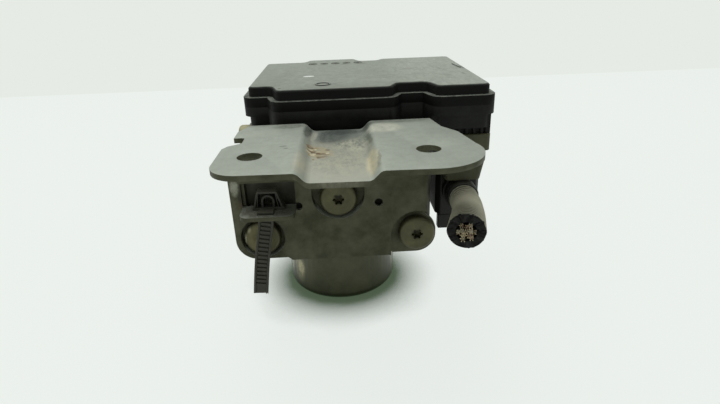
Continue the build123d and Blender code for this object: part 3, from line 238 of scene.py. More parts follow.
# ---------------------------------------------------------------- control unit
# Tray and lid are injection moulded in glass-filled PBT, near black and barely glossy on their
# walls. Fine grey dust covers all that looks up and lies along the seam's ledge.
lid_top = 117.2
lid_marks = [
    ((55.0, 0.0, lid_top), (26.0, 60.0, 9.0), 0, "#adb1a7", 0.8),
    ((15.0, 0.0, lid_top), (70.0, 60.0, 9.0), 0, "#7d8178", -0.5),
    ((-4.5, -27.2, lid_top), (4.3, 4.3, 3.0), 0, "#5d6059", 0.85),
    ((-4.5, -27.2, lid_top), (2.3, 2.3, 3.0), 0, "#a3a79d", 0.95),
    ((0.0, 0.0, 112.2), (150.0, 150.0, 1.6), 0, "#262723", 0.85),
    ((67.7, 7.2, lid_top), (2.2, 5.2, 3.0), 12, "#4b4d47", 0.75),
    ((64.0, -11.9, lid_top), (0.7, 2.2, 2.0), 0, "#5a5c55", 0.7),
    ((39.7, 9.0, lid_top), (5.0, 2.4, 2.0), 30, "#7c7f76", 0.5),
    ((16.2, 35.5, lid_top), (3.2, 1.8, 2.0), 0, "#565952", 0.75),
    ((6.0, 34.5, lid_top), (2.0, 1.5, 2.0), 0, "#5c5f57", 0.7),
    ((-23.8, -33.3, lid_top), (0.8, 0.8, 1.0), 0, "#24251f", 0.9),
    ((0.9, -27.0, lid_top), (1.2, 1.1, 1.0), 20, "#5b5d56", 0.7),
    ((-30.0, -5.0, lid_top), (6.0, 9.0, 2.0), 0, "#8f938a", 0.4),
    ((30.0, -22.0, lid_top), (16.0, 5.0, 2.0), -8, "#a9aca2", 0.4),
    ((50.0, 20.0, lid_top), (12.0, 9.0, 2.0), 15, "#a4a89e", 0.5),
]
pbt = finish_of("glass_filled_PBT", "#0a0b09", "#11120f", roughness=0.6, specular=0.12, patch=9.0,
                dust="#9a9f95", dust_on=0.93, dust_from=0.82, marks=lid_marks, ragged=1.2, marks_from=0.8)
tray_pbt = finish_of("glass_filled_PBT_tray", "#0a0b09", "#1c1d19", roughness=0.6, specular=0.2, patch=9.0,
                     dust="#4a4c46", dust_on=0.7, dust_from=0.7)
# the board's mask is a glossy green, its pins bright, the seal and the screws matt
board = finish_of("solder_mask_on_FR4", "#0d3a20", "#15502d", roughness=0.35, patch=7.0, coat=0.3)
tin = finish_of("tinned_brass", "#9b9a94", "#c2c1ba", roughness=0.3, metallic=1.0, patch=3.3)
rubber = finish_of("nitrile_rubber", "#0d0d0d", "#1a1a19", roughness=0.75, patch=5.0)
screw_steel = finish_of("zinc_flake_steel", "#3f3d28", "#57553b", roughness=0.5, metallic=0.5, patch=6.0,
                        dust="#66644c", dust_all=0.25, dust_on=0.7)
dress(pbt, "ecu_cover", edge=0.7)
dress(tray_pbt, "ecu_housing", edge=0.5)
dress(rubber, "ecu_gasket")
dress(board, "circuit_board")
dress(coil_resin, "board_components")
dress(tin, "connector_pins")
dress(screw_steel, "ecu_screws", "motor_screws")


# ---------------------------------------------------------------- marks on the lid
# Low rings left by the mould along the back, worn half away, a slot mark by the right edge and
# one dab of white paint marker.
def to_object(name, mesh, material, body="module", smooth=True):
    """A finished bmesh as a piece of the scene that rides on a body."""
    bmesh.ops.recalc_face_normals(mesh, faces=mesh.faces)
    data = bpy.data.meshes.new(name)
    mesh.to_mesh(data)
    mesh.free()
    for face in data.polygons:
        face.use_smooth = smooth
    data.materials.append(material)
    thing = bpy.data.objects.new(name, data)
    bpy.context.collection.objects.link(thing)
    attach(thing, body)
    return thing


rings_y, ring_height, ring_sunk = 38.6, 0.22, -0.1
ring_mesh = bmesh.new()
for x, radius in ((-11.5, 2.6), (-5.0, 2.4), (1.5, 2.6), (8.0, 2.4), (14.5, 2.6)):
    for reach, width in ((radius, 0.6), (radius * 0.45, 0.4)):
        profile = [ring_mesh.verts.new(Vector((x + reach + across, rings_y, lid_top + rise)) * MM)
                   for across, rise in ((0.0, ring_sunk), (-0.1, ring_height), (0.1 - width, ring_height),
                                        (-width, ring_sunk))]
        edges = [ring_mesh.edges.new((a, b)) for a, b in zip(profile, profile[1:])]
        bmesh.ops.spin(ring_mesh, geom=profile + edges, cent=Vector((x, rings_y, lid_top)) * MM,
                       axis=(0, 0, 1), angle=2 * math.pi, steps=36, use_merge=True)
worn_pbt = finish_of("glass_filled_PBT_worn", "#4a4c46", "#8b8e85", roughness=0.6, specular=0.2, patch=4.0)
to_object("cover_mould_rings", ring_mesh, worn_pbt)


def slab(mesh, outline, low, high):
    """An outline in plan, in millimetres, made solid from low to high. Gives back its top's corners."""
    base = mesh.faces.new([mesh.verts.new(Vector((x, y, low)) * MM) for x, y in outline])
    grown = bmesh.ops.extrude_face_region(mesh, geom=[base], use_keep_orig=True)["geom"]
    verts = [part for part in grown if isinstance(part, bmesh.types.BMVert)]
    bmesh.ops.translate(mesh, verts=verts, vec=Vector((0, 0, high - low)) * MM)
    return verts


slot_mesh = bmesh.new()
slab(slot_mesh, ((65.0, 19.0), (65.8, 19.5), (67.2, 6.0), (66.3, 5.0)), lid_top - 0.2, lid_top + 0.12)
bare_pbt = finish_of("glass_filled_PBT_bare", "#2c2e2a", "#43453f", roughness=0.6, specular=0.2, patch=4.0)
to_object("cover_slot_mark", slot_mesh, bare_pbt, smooth=False)

# the dab has an uneven rim of 14 corners and thins towards it
chance = random.Random(11)
dab_x, dab_y, dab_step = -12.0, -3.8, 0.449
dab_mesh = bmesh.new()
dab_rim = [(dab_x + 3.0 * reach * math.cos(k * dab_step), dab_y + 1.7 * reach * math.sin(k * dab_step))
           for k, reach in enumerate(chance.uniform(0.82, 1.18) for _ in range(14))]
dab_top = slab(dab_mesh, dab_rim, lid_top - 0.2, lid_top + 0.1)
dab_middle = sum((vert.co for vert in dab_top), Vector()) / len(dab_top)
bmesh.ops.scale(dab_mesh, vec=(0.86, 0.8, 1.0), verts=dab_top, space=Matrix.Translation(-dab_middle))
to_object("paint_dab", dab_mesh, finish_of("paint_marker", "#d8dcd6", "#f1f4f0", roughness=0.5, patch=2.0))

# ---------------------------------------------------------------- wiring plug
# Header, rear cover and lock lever in glass-filled polyamide, moulded black and dusty, with a
# silicone seal inside. The header is the dustiest.
# moulded polyamide is matt under dust, and the silicone is brick red
plug_pa = finish_of("glass_filled_PA66_dusty", "#2c2c21", "#464637", roughness=0.6, specular=0.25, patch=12.0,
                    dust="#7c795f", dust_all=0.22, dust_on=0.85)
cover_pa = finish_of("glass_filled_PA66_black", "#10110e", "#1d1e19", roughness=0.5, specular=0.25,
                     patch=12.0, dust="#66665a", dust_on=0.65, dust_from=0.75, dust_all=0.04)
silicone = finish_of("silicone_rubber", "#6e2410", "#8f3518", roughness=0.6, patch=5.0)
dress(plug_pa, "plug_body", edge=0.5)
dress(cover_pa, "plug_cover", edge=0.6)
dress(cover_pa, "lock_lever", edge=0.4)
dress(silicone, "plug_seal")

# the cover's outer wall, cut off at its front corners, and the foot that hangs from it
shell_left, shell_right, shell_front, shell_back = 50.3, 72.8, -23.6, -4.0
shell_bottom, shell_top = 46.4, 69.2
foot_left, foot_right, foot_bottom = 51.6, 58.0, 38.4
shell_mesh = bmesh.new()
slab(shell_mesh, ((shell_left, shell_back), (shell_left, shell_front + 3.0), (shell_left + 2.1, shell_front),
                  (shell_right - 2.2, shell_front), (shell_right, shell_front + 3.0),
                  (shell_right, shell_back)), shell_bottom, shell_top)
slab(shell_mesh, ((foot_left, shell_front + 4.4), (foot_left, shell_front), (foot_right, shell_front),
                  (foot_right, shell_front + 4.4)), foot_bottom, shell_bottom + 0.2)
plug_shell = to_object("plug_cover_shell", shell_mesh, cover_pa, smooth=False)
break_edges(plug_shell, 0.7, segments=3)


# ---------------------------------------------------------------- harness stub
# A ribbed polyamide sleeve, beige with road dust, over a thick black wrapping and a dozen thin
# PVC wires. The wrapping fills the sleeve out from the wires, so its black is partly painted shade
# inside the sleeve. Everything is torn off aslant, so the top of the cut hangs over the rest.
def spline_points(points, name):
    """Points along the smooth NURBS line through a route, close together."""
    curve = bpy.data.curves.new(name, "CURVE")
    curve.dimensions = "3D"
    run = curve.splines.new("NURBS")
    run.points.add(len(points) - 1)
    for point, where in zip(run.points, points):
        point.co = (*where, 1.0)
    run.order_u = 3
    run.use_endpoint_u = True
    run.resolution_u = 24
    holder = bpy.data.objects.new(name, curve)
    mesh = bpy.data.meshes.new_from_object(holder)
    found = [v.co.copy() for v in mesh.vertices]
    bpy.data.objects.remove(holder)
    bpy.data.meshes.remove(mesh)
    bpy.data.curves.remove(curve)
    return found


def resample(points, step):
    """The same line at an even step."""
    lengths = [0.0]
    for a, b in zip(points, points[1:]):
        lengths.append(lengths[-1] + (b - a).length)
    count = max(2, round(lengths[-1] / step))
    out, at = [], 0
    for number in range(count + 1):
        want = lengths[-1] * number / count
        while at < len(points) - 2 and lengths[at + 1] < want:
            at += 1
        share = (want - lengths[at]) / (lengths[at + 1] - lengths[at])
        out.append(points[at].lerp(points[at + 1], share))
    return out


def places_along(points):
    """A matrix at each point of a line, Z along it and Y upwards, without twist."""
    side, places = Vector((1, 0, 0)), []
    for number, point in enumerate(points):
        ahead = (points[min(number + 1, len(points) - 1)] - points[max(number - 1, 0)]).normalized()
        side = (side - ahead * side.dot(ahead)).normalized()
        turned = Matrix((side, ahead.cross(side), ahead)).transposed().to_4x4()
        places.append(Matrix.Translation(point) @ turned)
    return places


def sweep(mesh, edges, places):
    """Extrude a loop of edges from place to place and give back its last edges."""
    for before, after in zip(places, places[1:]):
        grown = bmesh.ops.extrude_edge_only(mesh, edges=edges)["geom"]
        verts = {part for part in grown if isinstance(part, bmesh.types.BMVert)}
        edges = [part for part in grown
                 if isinstance(part, bmesh.types.BMEdge) and verts.issuperset(part.verts)]
        bmesh.ops.transform(mesh, matrix=after @ before.inverted(), verts=list(verts))
    return edges


def circle_edges(mesh, place, sides):
    """A circle of radius 1 in a place, as a loop of edges."""
    made = bmesh.ops.create_circle(mesh, segments=sides, radius=1.0, matrix=place)["verts"]
    return list({edge for vert in made for edge in vert.link_edges})


def sized(place, radius):
    """A place in which a circle of radius 1 has the radius, in millimetres."""
    return place @ Matrix.Diagonal((radius * MM, radius * MM, 1.0, 1.0))


harness_diameter = 14.0
route = [Vector(p) * MM for p in ((61.3, -26.8, 60.8), (61.3, -42.8, 60.8), (56.1, -64.8, 66.2),
                                  (50.1, -86.8, 73.4), (43.7, -108.8, 79.2))]
harness_line = spline_points(route, "harness_line")
harness_places = places_along(resample(harness_line, 1.0 * MM))
rib_pitch, rib_steps, sides = 3.2, 8, 56
groove_radius, rib_rise = 6.1, 0.85
sleeve_places = places_along(resample(harness_line, rib_pitch / rib_steps * MM))
cut_lean = math.radians(28)
end_place = harness_places[-1]
cut_normal = end_place.to_3x3() @ Vector((0, -math.sin(cut_lean), math.cos(cut_lean)))
cut_top = end_place @ Vector((0, harness_diameter / 2 * MM, 0))

sleeve_mesh = bmesh.new()
rib_height = sleeve_mesh.verts.layers.float.new("rib")
ribbed = [sized(place, groove_radius + rib_rise * abs(math.sin(math.pi * k / rib_steps)) ** 0.6)
          for k, place in enumerate(sleeve_places)]
sweep(sleeve_mesh, circle_edges(sleeve_mesh, ribbed[0], sides), ribbed)
for number, vert in enumerate(sleeve_mesh.verts):
    vert[rib_height] = abs(math.sin(math.pi * (number // sides) / rib_steps))
bmesh.ops.bisect_plane(sleeve_mesh, geom=[*sleeve_mesh.verts, *sleeve_mesh.edges, *sleeve_mesh.faces],
                       plane_co=cut_top - cut_normal * 0.9 * MM, plane_no=cut_normal, clear_outer=True)

# its finish: dust on the ribs, and grime with painted shade in the grooves between them
sleeve_dusty = finish_of("corrugated_polyamide_dusty", "#827f74", "#a5a28e", roughness=0.75, specular=0.25,
                         patch=5.0, grain=0.35, dust="#b3b09b", dust_all=0.65, dust_on=0.9)
sleeve_tree = sleeve_dusty.node_tree
sleeve_base = sleeve_tree.nodes["Principled BSDF"].inputs["Base Color"]
rib_share = add(sleeve_tree, "Attribute", attribute_name="rib")["Fac"]
# the grooves are darkened partly as grime and partly as painted shade
groove_grime_and_shade = add(sleeve_tree, "MapRange", {"Value": rib_share, "From Min": 0.3, "From Max": 0.9, "To Min": 0.95,
                                       "To Max": 0.0})["Result"]
grime_and_shade_tone = add(sleeve_tree, "Mix", {0: groove_grime_and_shade, 6: sleeve_base.links[0].from_socket, 7: colour("#35332a")},
            data_type="RGBA")[2]
sleeve_tree.links.new(grime_and_shade_tone, sleeve_base)
sleeve = to_object("harness_tube", sleeve_mesh, sleeve_dusty)
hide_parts("harness_sleeve")

# a black rubber collar where the sleeve leaves the plug
collar_mesh = bmesh.new()
collar_bore = 6.3
collar_radii = [7.2, 7.9, 8.1, 8.1, 8.0, 7.9, 7.9, 8.0, 7.8, 7.2]
collar_places = harness_places[1:11]
collar_run = [sized(place, radius) for place, radius in zip(collar_places, collar_radii)]
collar_run += [sized(place, collar_bore) for place in (collar_places[-1], collar_places[0])] + collar_run[:1]
sweep(collar_mesh, circle_edges(collar_mesh, collar_run[0], sides), collar_run)
bmesh.ops.remove_doubles(collar_mesh, verts=collar_mesh.verts, dist=0.001 * MM)
black_rubber = finish_of("moulded_rubber_collar", "#151613", "#24251f", roughness=0.6, specular=0.3,
                         patch=6.0, dust="#4c4c43", dust_on=0.35, dust_from=0.5)
collar = to_object("harness_collar", collar_mesh, black_rubber)

# the thick black wrapping, torn at the cut, where each corner is pushed by chance; its black
# between the wires and the sleeve is partly painted shade
wrap_radius, wrap_bore = 6.7, 3.75
wrap_mesh = bmesh.new()
wrap_places = places_along(resample(harness_line, 0.5 * MM))[-40:]
outside = [sized(place, wrap_radius) for place in wrap_places]
inside = [sized(place, wrap_bore) for place in reversed(wrap_places)]
sweep(wrap_mesh, circle_edges(wrap_mesh, outside[0], sides), outside + inside + outside[:1])
bmesh.ops.remove_doubles(wrap_mesh, verts=wrap_mesh.verts, dist=0.001 * MM)
cut = bmesh.ops.bisect_plane(wrap_mesh, geom=[*wrap_mesh.verts, *wrap_mesh.edges, *wrap_mesh.faces],
                             plane_co=cut_top, plane_no=cut_normal, clear_outer=True)["geom_cut"]
rims = [part for part in cut if isinstance(part, bmesh.types.BMEdge)]
across = bmesh.ops.bridge_loops(wrap_mesh, edges=rims)["edges"]
bmesh.ops.subdivide_edges(wrap_mesh, edges=across, cuts=3)
for vert in wrap_mesh.verts:
    if abs((vert.co - cut_top).dot(cut_normal)) < 0.01 * MM:
        away = vert.co - end_place.translation
        swell = 0.6 * math.sin(9 * math.atan2(away.z, away.x)) + chance.uniform(-0.9, 0.3)
        vert.co += cut_normal * min(swell, 0.0) * MM + away.normalized() * chance.uniform(-0.2, 0.25) * MM
black_wrap_and_inner_shade = finish_of("torn_rubber_wrapping_and_inner_shade", "#070806", "#191a16", roughness=0.7, specular=0.3, patch=2.2,
                       grain=0.4, bump=0.5)
wrap = to_object("harness_torn_wrapping_and_inner_shade", wrap_mesh, black_wrap_and_inner_shade)


def rod(mesh, places, radius, corners):
    """A round rod through places, closed at both ends."""
    run = [sized(place, radius) for place in places]
    loop = circle_edges(mesh, run[0], corners)
    bmesh.ops.contextual_create(mesh, geom=loop)
    bmesh.ops.contextual_create(mesh, geom=sweep(mesh, loop, run))


# the wires: grey-beige and faded red insulation with fine bright strands at the cut
insulation = ["#a39783", "#b5afa1", "#7a4a42", "#6f6c60", "#ada080", "#8d6d64", "#4b4943", "#a79a8a",
              "#6d5240", "#b9b4a6", "#86836d", "#94776b"]
wire_radius, strand_radius, strand_ring = 0.74, 0.16, 0.36
spots = [(0.0, 0.0)]
for ring, angles in ((1.55, (0.3, 1.5, 2.8, 4.0, 5.3)), (2.85, (0.0, 1.05, 2.2, 3.2, 4.3, 5.4))):
    spots += [(ring * math.cos(a), ring * math.sin(a)) for a in angles]
strand_mesh = bmesh.new()
for number, (x, y) in enumerate(spots, 1):
    short = (3.2 - y) * math.tan(cut_lean) + chance.uniform(1.6, 3.6)
    run = [place @ Matrix.Translation(Vector((x, y, -short)) * MM) for place in harness_places[-22:]]
    wire_mesh = bmesh.new()
    rod(wire_mesh, run, wire_radius, 14)
    tint = insulation[number - 1]
    pvc = finish_of(f"thin_wall_PVC_{number:02d}", tint, tint, roughness=0.5, patch=2.0, dust="#77735f",
                    dust_all=0.3, dust_on=0.4)
    to_object(f"wire_{number:02d}", wire_mesh, pvc)
    for spoke in range(6):
        # one strand in the middle and five round it, which splay towards their tips
        lean = Vector((math.cos(spoke * 1.047), math.sin(spoke * 1.047), 0)) * (strand_ring if spoke else 0.0)
        reach = chance.uniform(0.5, 1.3)
        stand = []
        for share in (0.0, 0.5, 1.0):
            offset = lean * (1 + share * chance.uniform(0.6, 2.4)) + Vector((0, 0, reach * share - 0.2))
            stand.append(run[-1] @ Matrix.Translation(offset * MM))
        rod(strand_mesh, stand, strand_radius, 6)
tinned = finish_of("tinned_copper_strand", "#a8936f", "#d9cdb0", roughness=0.35, metallic=0.7, patch=1.1)
strands = to_object("wire_strands", strand_mesh, tinned)
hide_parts("harness_wires")
[tuple(p) for p in resample(harness_line, 2 * MM)]

# ---------------------------------------------------------------- bracket
# One pressed steel sheet with a dull olive coating. Pale dust lies on the shelf, cream dirt in
# its channel, and rust creeps out of cracks in the dirt. Painted shade darkens the tab's top and
# the gap beside the plate's left strip, and a painted highlight brightens that strip.
shelf_top, channel_floor, tab_top = 104.2, 101.0, 64.4
bracket_marks = [
    # cream dirt in the channel, thin at its back, and the coating darker there and along the
    # shelf's rear edge
    ((1.6, -76.0, channel_floor), (13.5, 23.0, 4.0), 0, "#9c9a87", 0.8),
    ((1.4, -98.0, channel_floor), (14.0, 14.0, 4.0), 0, "#a3a190", 0.8),
    ((6.5, -70.0, channel_floor), (5.0, 9.0, 4.0), 20, "#b0af9c", 0.7),
    ((1.6, -74.0, channel_floor), (15.0, 28.0, 4.0), 0, "#74776c", -0.6),
    ((7.0, -62.0, channel_floor), (9.0, 13.0, 4.0), 0, "#6a7068", -0.95),
    ((-19.0, -50.5, shelf_top), (6.5, 3.4, 2.5), 8, "#666962", 0.85),
    ((-24.0, -47.0, shelf_top), (20.0, 2.0, 2.5), 0, "#7b7e75", 0.6),
    ((24.0, -48.2, shelf_top), (17.0, 3.4, 2.5), 0, "#666a62", 0.85),
    ((20.0, -58.0, shelf_top), (8.0, 7.0, 2.5), 0, "#cbcbba", 0.85),
    ((1.0, -53.0, channel_floor), (11.0, 11.0, 5.0), 0, "#6a706b", 1.0),
    ((-1.0, -57.0, channel_floor), (6.5, 10.0, 5.0), -18, "#4a504d", 1.0),
    ((3.0, -50.5, channel_floor), (9.0, 4.0, 5.0), 0, "#3f4542", 0.95),
    ((-9.0, -56.0, channel_floor), (1.8, 7.0, 4.0), -8, "#b3b2a2", 0.9),
    ((-11.0, -54.0, 102.8), (1.7, 9.5, 3.0), -4, "#40453f", 1.0),
    ((13.4, -50.5, 103.0), (3.2, 4.6, 3.0), -20, "#444942", 0.9),
    ((13.9, -68.0, 102.4), (0.9, 8.0, 3.0), 3, "#666a5f", 0.95),
    # cream patch down the right wall, dark smears on both walls
    ((13.4, -94.0, 102.0), (2.6, 12.0, 3.0), -4, "#bdb597", 1.0),
    ((15.4, -97.0, 103.0), (0.7, 8.0, 3.0), -4, "#787a69", 0.9),
    ((-12.5, -96.0, 102.0), (2.2, 12.0, 3.0), 0, "#b3ae99", 0.9),
    # rust in the cracks of the dirt
    ((-7.0, -77.0, 100.9), (5.5, 8.5, 2.0), 25, "#a39472", 0.8),
    ((-9.8, -72.5, 101.2), (1.6, 1.6, 2.0), 0, "#4c3a22", 1.0),
    ((-8.4, -77.6, 100.9), (2.6, 1.1, 2.0), -30, "#5a3f20", 1.0),
    ((-5.2, -79.8, 100.9), (3.2, 1.0, 2.0), -12, "#5a452b", 1.0),
    ((-4.4, -83.2, 100.9), (2.2, 1.0, 2.0), 40, "#6a573c", 0.9),
    # specks and thin places in the dust on the shelf's wings
    ((-19.1, -78.8, shelf_top), (1.3, 0.9, 1.5), 0, "#5e6057", 0.8),
    ((-17.7, -81.6, shelf_top), (0.8, 0.8, 1.5), 0, "#5e6057", 0.8),
    ((-30.0, -60.0, shelf_top), (9.0, 5.0, 2.0), 10, "#a2a69b", 0.6),
    ((36.0, -58.0, shelf_top), (10.0, 5.0, 2.0), -12, "#a7aca2", 0.6),
    # painted shade darkens the tab's top under the shelf; a painted highlight brightens the top of
    # the plate's left strip beside it and runs fainter down the strip, and painted shade darkens the
    # gap right of the strip
    # painted shade on the tab's top, which the shelf shades
    ((-32.5, -48.5, tab_top), (15.0, 9.0, 1.6), 0, "#4b493b", 0.95),
    # painted highlight on the top of the plate's left strip
    ((-47.7, -43.2, 74.6), (2.0, 2.0, 4.2), 0, "#a7a899", 0.9),
    # fainter painted highlight down the strip
    ((-48.6, -43.2, 60.0), (1.0, 2.0, 9.0), 0, "#5c5a49", 0.7),
    # painted shade in the gap right of the strip
    ((-45.5, -42.8, 70.0), (1.0, 2.0, 6.0), 0, "#25261e", 0.8),
    ((-46.3, -43.2, 66.0), (1.2, 1.6, 2.2), 0, "#5b4a36", 0.5),
    ((-20.0, -44.0, 62.0), (3.0, 4.0, 1.6), 0, "#6e6d5c", 0.5),
    ((33.0, -43.2, 86.0), (6.0, 2.0, 9.0), 0, "#4a4631", 0.5),
]
for _ in range(26):
    # crumbs of rust and clay round the cracks
    crumb = (-8.0 + chance.gauss(0, 2.4), -77.5 + chance.gauss(0, 4.0), 100.9)
    crumb_size = (chance.uniform(0.5, 1.2), chance.uniform(0.5, 1.1), 2.0)
    bracket_marks.append((crumb, crumb_size, chance.uniform(0, 180),
                          chance.choice(("#4a3820", "#7b5d38", "#c8bfa2", "#d2cbb2", "#8b7754")), 0.9))
# the coat is matt olive grey, and goes pale where dust lies
coated_steel = finish_of("zinc_phosphate_coated_steel", "#3d3e2c", "#595946", roughness=0.55, metallic=0.3,
                         patch=8.0, specular=0.3, dust="#9fa49a", dust_on=0.93, dust_from=0.5,
                         marks=bracket_marks, ragged=2.2)
dress(coated_steel, "bracket", edge=0.35)

# the plate's side strip is folded back beside the tie's window
fold_left, fold_right, fold_front, fold_back = -45.8, -43.5, -41.4, -30.5
fold_mesh = bmesh.new()
slab(fold_mesh, ((fold_left, fold_front), (fold_right, fold_front), (fold_right, fold_back),
                 (fold_left, fold_back)), 60.0, 78.5)
to_object("bracket_side_fold", fold_mesh, coated_steel, smooth=False)

# ---------------------------------------------------------------- bracket screws
# Flanged steel screws with a dull olive zinc-flake coat. Their six-lobe sockets are painted near
# black as shade, and the left one's rim carries a painted highlight.
screw_centres = ((0.0, 65.8), (-37.7, 47.0), (37.7, 45.4))
# painted shade in the six-lobe sockets
head_marks = [((x, -43.0, z), (2.7, 6.0, 2.7), 0, "#0f0f0a", 0.9) for x, z in screw_centres]
head_marks += [
    # a painted highlight along the left screw's rim
    ((-46.2, -43.0, 48.0), (0.9, 4.0, 5.4), 0, "#c9c8b2", 0.95),
    ((-43.6, -43.0, 53.2), (1.0, 4.0, 2.6), 0, "#a9a78f", 0.8),
    ((-38.5, -42.4, 47.0), (6.6, 1.0, 7.4), 0, "#7f7a56", 0.8),
]
# zinc flake has a low olive sheen
head_steel = finish_of("zinc_flake_steel_heads", "#45432f", "#5d5a3f", roughness=0.5, metallic=0.45,
                       patch=7.0, specular=0.4, dust="#66644a", dust_all=0.2, dust_on=0.7,
                       marks=head_marks, ragged=0.8)
dress(head_steel, "bracket_screws", edge=0.35)

# ---------------------------------------------------------------- cable tie
# A nylon tie, grey-brown with age. Its clip has an arch and two sprung wings and stands on the
# bracket's tab. The toothed strap hangs from it, leans to the left and ends in a torn cut.
clip_x, clip_z = -32.4, tab_top
clip_front, clip_back = -47.2, -41.3
strap_y, strap_thick = -51.2, 1.5
tooth_pitch, tooth_size = 2.15, (4.7, 0.6, 1.25)
tie_mesh = bmesh.new()


def wall(points, thick, front, back):
    """A bent wall that follows points in front view from front to back, in millimetres."""
    start = [tie_mesh.verts.new(Vector((clip_x + x, front, clip_z + z)) * MM) for x, z in points]
    edges = [tie_mesh.edges.new(pair) for pair in zip(start, start[1:])]
    grown = bmesh.ops.extrude_edge_only(tie_mesh, edges=edges)["geom"]
    verts = [part for part in grown if isinstance(part, bmesh.types.BMVert)]
    bmesh.ops.translate(tie_mesh, verts=verts, vec=Vector((0, back - front, 0)) * MM)
    faces = [part for part in grown if isinstance(part, bmesh.types.BMFace)]
    bmesh.ops.solidify(tie_mesh, geom=faces, thickness=thick * MM)


def block(low, high):
    """A box between two corners, in millimetres."""
    low, high = Vector(low) * MM, Vector(high) * MM
    place = Matrix.Translation((low + high) / 2) @ Matrix.Diagonal((*(high - low), 1.0))
    return bmesh.ops.create_cube(tie_mesh, size=1.0, matrix=place)["verts"]


# the clip: a foot, a tapered arch, a round one inside it, a wing on each side, and the strap's root
block((clip_x - 7.3, clip_front, clip_z), (clip_x + 7.3, clip_back, clip_z + 1.2))
wall([(-6.9, 1.0), (-5.7, 5.6), (-5.0, 8.5), (-4.3, 9.0), (3.9, 9.0), (4.6, 8.5), (5.5, 5.6), (6.9, 1.0)],
     -0.9, clip_front, clip_back)
crown = [math.pi * (1 - k / 10) for k in range(11)]
loop_radius, loop_spring = 3.1, 4.2
round_arch = [(loop_radius * math.cos(a), loop_spring + loop_radius * math.sin(a)) for a in crown]
wall([(-loop_radius, 1.0)] + round_arch + [(loop_radius, 1.0)], -1.0, clip_front + 0.3, clip_back - 0.3)
for side in (-1, 1):
    wall([(side * 5.0, 1.0), (side * 4.4, 4.6), (side * 4.0, 8.6)], 0.45, clip_front + 0.2, clip_back - 0.2)
block((-36.7, strap_y - strap_thick / 2, clip_z), (-29.7, clip_front + 0.5, clip_z + 0.9))

# the strap, which untwists as it leaves the clip
strap_route = [Vector(p) * MM for p in ((-33.1, strap_y, 65.2), (-33.2, strap_y, 61.0), (-34.9, -51.3, 53.0),
                                        (-37.9, -51.5, 38.0), (-39.9, -51.6, 22.3))]
strap_line = resample(spline_points(strap_route, "strap_line"), 1.0 * MM)
strap_places = []
for number, place in enumerate(places_along(strap_line)):
    twist = math.radians(22) * max(0.0, 1 - number / 10) ** 1.5 if number > 2 else 0.0
    strap_places.append(place @ Matrix.Rotation(twist, 4, "Z"))
# its section: flat behind, two rims in front with the teeth between them
section = [(-3.3, -0.7), (-3.5, -0.45), (-3.5, 0.5), (-3.3, 0.72), (-2.45, 0.72), (-2.3, -0.1), (2.3, -0.1),
           (2.45, 0.72), (3.3, 0.72), (3.5, 0.5), (3.5, -0.45), (3.3, -0.7)]
corners = [tie_mesh.verts.new(strap_places[0] @ (Vector((x, y, 0)) * MM)) for x, y in section]
loop = [tie_mesh.edges.new((a, corners[(k + 1) % len(corners)])) for k, a in enumerate(corners)]
bmesh.ops.contextual_create(tie_mesh, geom=loop)
strap_end = sweep(tie_mesh, loop, strap_places)
torn_end = sorted({vert for edge in strap_end for vert in edge.verts}, key=lambda vert: vert.co.x)
bmesh.ops.contextual_create(tie_mesh, geom=strap_end)
for vert in torn_end:
    vert.co.z += chance.uniform(-0.2, 1.1) * MM
strap_length = sum((b - a).length for a, b in zip(strap_line, strap_line[1:])) / MM
for number in range(int((strap_length - 5.0) / tooth_pitch)):
    along = 3.6 + number * tooth_pitch
    nearest = min(round(along), len(strap_places) - 1)
    place = strap_places[nearest]
    tooth = bmesh.ops.create_cube(tie_mesh, size=1.0,
                                  matrix=place @ Matrix.Diagonal((*[MM * side for side in tooth_size], 1)))
    lift = place.to_3x3() @ Vector((0, 0.3, along - nearest)) * MM
    bmesh.ops.translate(tie_mesh, verts=tooth["verts"], vec=lift)
# aged nylon is matt, and painted shade darkens the clip where it sits under the shelf
nylon = finish_of("nylon_66_weathered", "#2a2922", "#3b3a32", roughness=0.5, specular=0.3, patch=4.0,
                  grain=0.4, dust="#605e52", dust_all=0.2, dust_on=0.6,
                  marks=[((clip_x, -44.0, 68.0), (9.0, 6.0, 5.0), 0, "#1d1f1b", 0.75)])
cable_tie = to_object("cable_tie_moulding", tie_mesh, nylon, smooth=False)
break_edges(cable_tie, 0.12, degrees=50)
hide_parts("cable_tie")

# ---------------------------------------------------------------- floor and light
# A pale paper table that runs to the horizon and a pale sky. Both look paler to the camera and in
# reflections than they light the module. One wide lamp hangs above and behind.
paper = finish_of("pale_paper", "#e6ebe6", "#ebf0ec", roughness=0.7, specular=0.2, patch=600.0, grain=4.0,
                  bump=0.0)
table_level, table_shade, sky_level = "#eef3ef", "#4a5a45", "#e6ebe5"
table_half, table_back = 3.0, 0.633


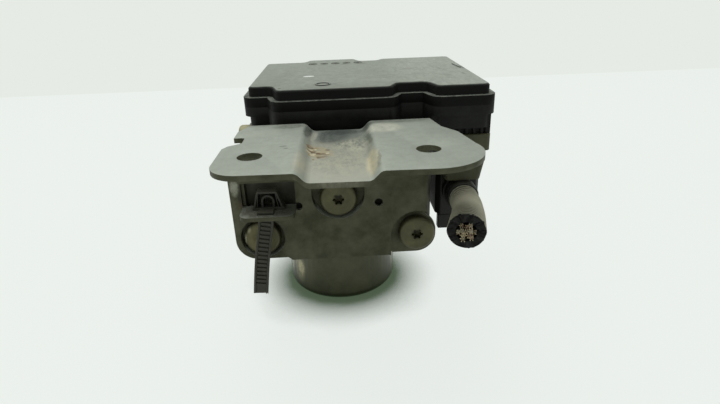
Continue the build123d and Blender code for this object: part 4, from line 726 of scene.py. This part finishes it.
def seen_directly(tree):
    """1 where the camera or a reflection sees the surface, 0 where it only lights others."""
    rays = add(tree, "LightPath")
    seen = add(tree, "Math", {0: rays["Is Camera Ray"], 1: rays["Is Transmission Ray"]},
               operation="MAXIMUM")[0]
    return add(tree, "Math", {0: seen, 1: rays["Is Glossy Ray"]}, operation="MAXIMUM")[0]


table = paper.node_tree
# the module's near shadow stays, its wide shadow is mostly lifted
near = add(table, "AmbientOcclusion", {"Distance": 0.035}, samples=16)["AO"]
shade = add(table, "MapRange", {"Value": near, "From Min": 0.62, "From Max": 0.93})["Result"]
glow = add(table, "Mix", {0: shade, 6: colour(table_shade), 7: colour(table_level)}, data_type="RGBA")[2]
glow = add(table, "Emission", {"Color": glow})["Emission"]
share = add(table, "Math", {0: seen_directly(table), 1: 0.9}, operation="MULTIPLY")[0]
lit = table.nodes["Principled BSDF"].outputs["BSDF"]
surface = add(table, "MixShader", {0: share, 1: lit, 2: glow})["Shader"]
table.links.new(surface, table.nodes["Material Output"].inputs["Surface"])
floor_mesh = bmesh.new()
bmesh.ops.create_grid(floor_mesh, x_segments=1, y_segments=1, size=table_half,
                      matrix=Matrix.Translation((0, table_back - table_half, 0)))
floor_data = bpy.data.meshes.new("floor")
floor_mesh.to_mesh(floor_data)
floor_mesh.free()
floor_data.materials.append(paper)
floor = bpy.data.objects.new("floor", floor_data)
bpy.context.collection.objects.link(floor)
world = bpy.data.worlds.new("sky")
world.use_nodes = True
sky = world.node_tree
level = add(sky, "MapRange", {"Value": seen_directly(sky), "To Min": 0.5, "To Max": 1.0})["Result"]
background = sky.nodes["Background"]
background.inputs["Color"].default_value = colour(sky_level)
sky.links.new(level, background.inputs["Strength"])
bpy.context.scene.world = world
lamp = bpy.data.lights.new("wide_lamp", "AREA")
lamp.shape = "DISK"
lamp.size = 1.2
lamp.energy = 9.0
lamp_holder = bpy.data.objects.new("wide_lamp", lamp)
lamp_holder.location = (-0.15, 0.25, 1.3)
towards_block = Vector((0, 0, 0.08)) - lamp_holder.location
lamp_holder.rotation_euler = towards_block.to_track_quat("-Z", "Y").to_euler()
bpy.context.collection.objects.link(lamp_holder)
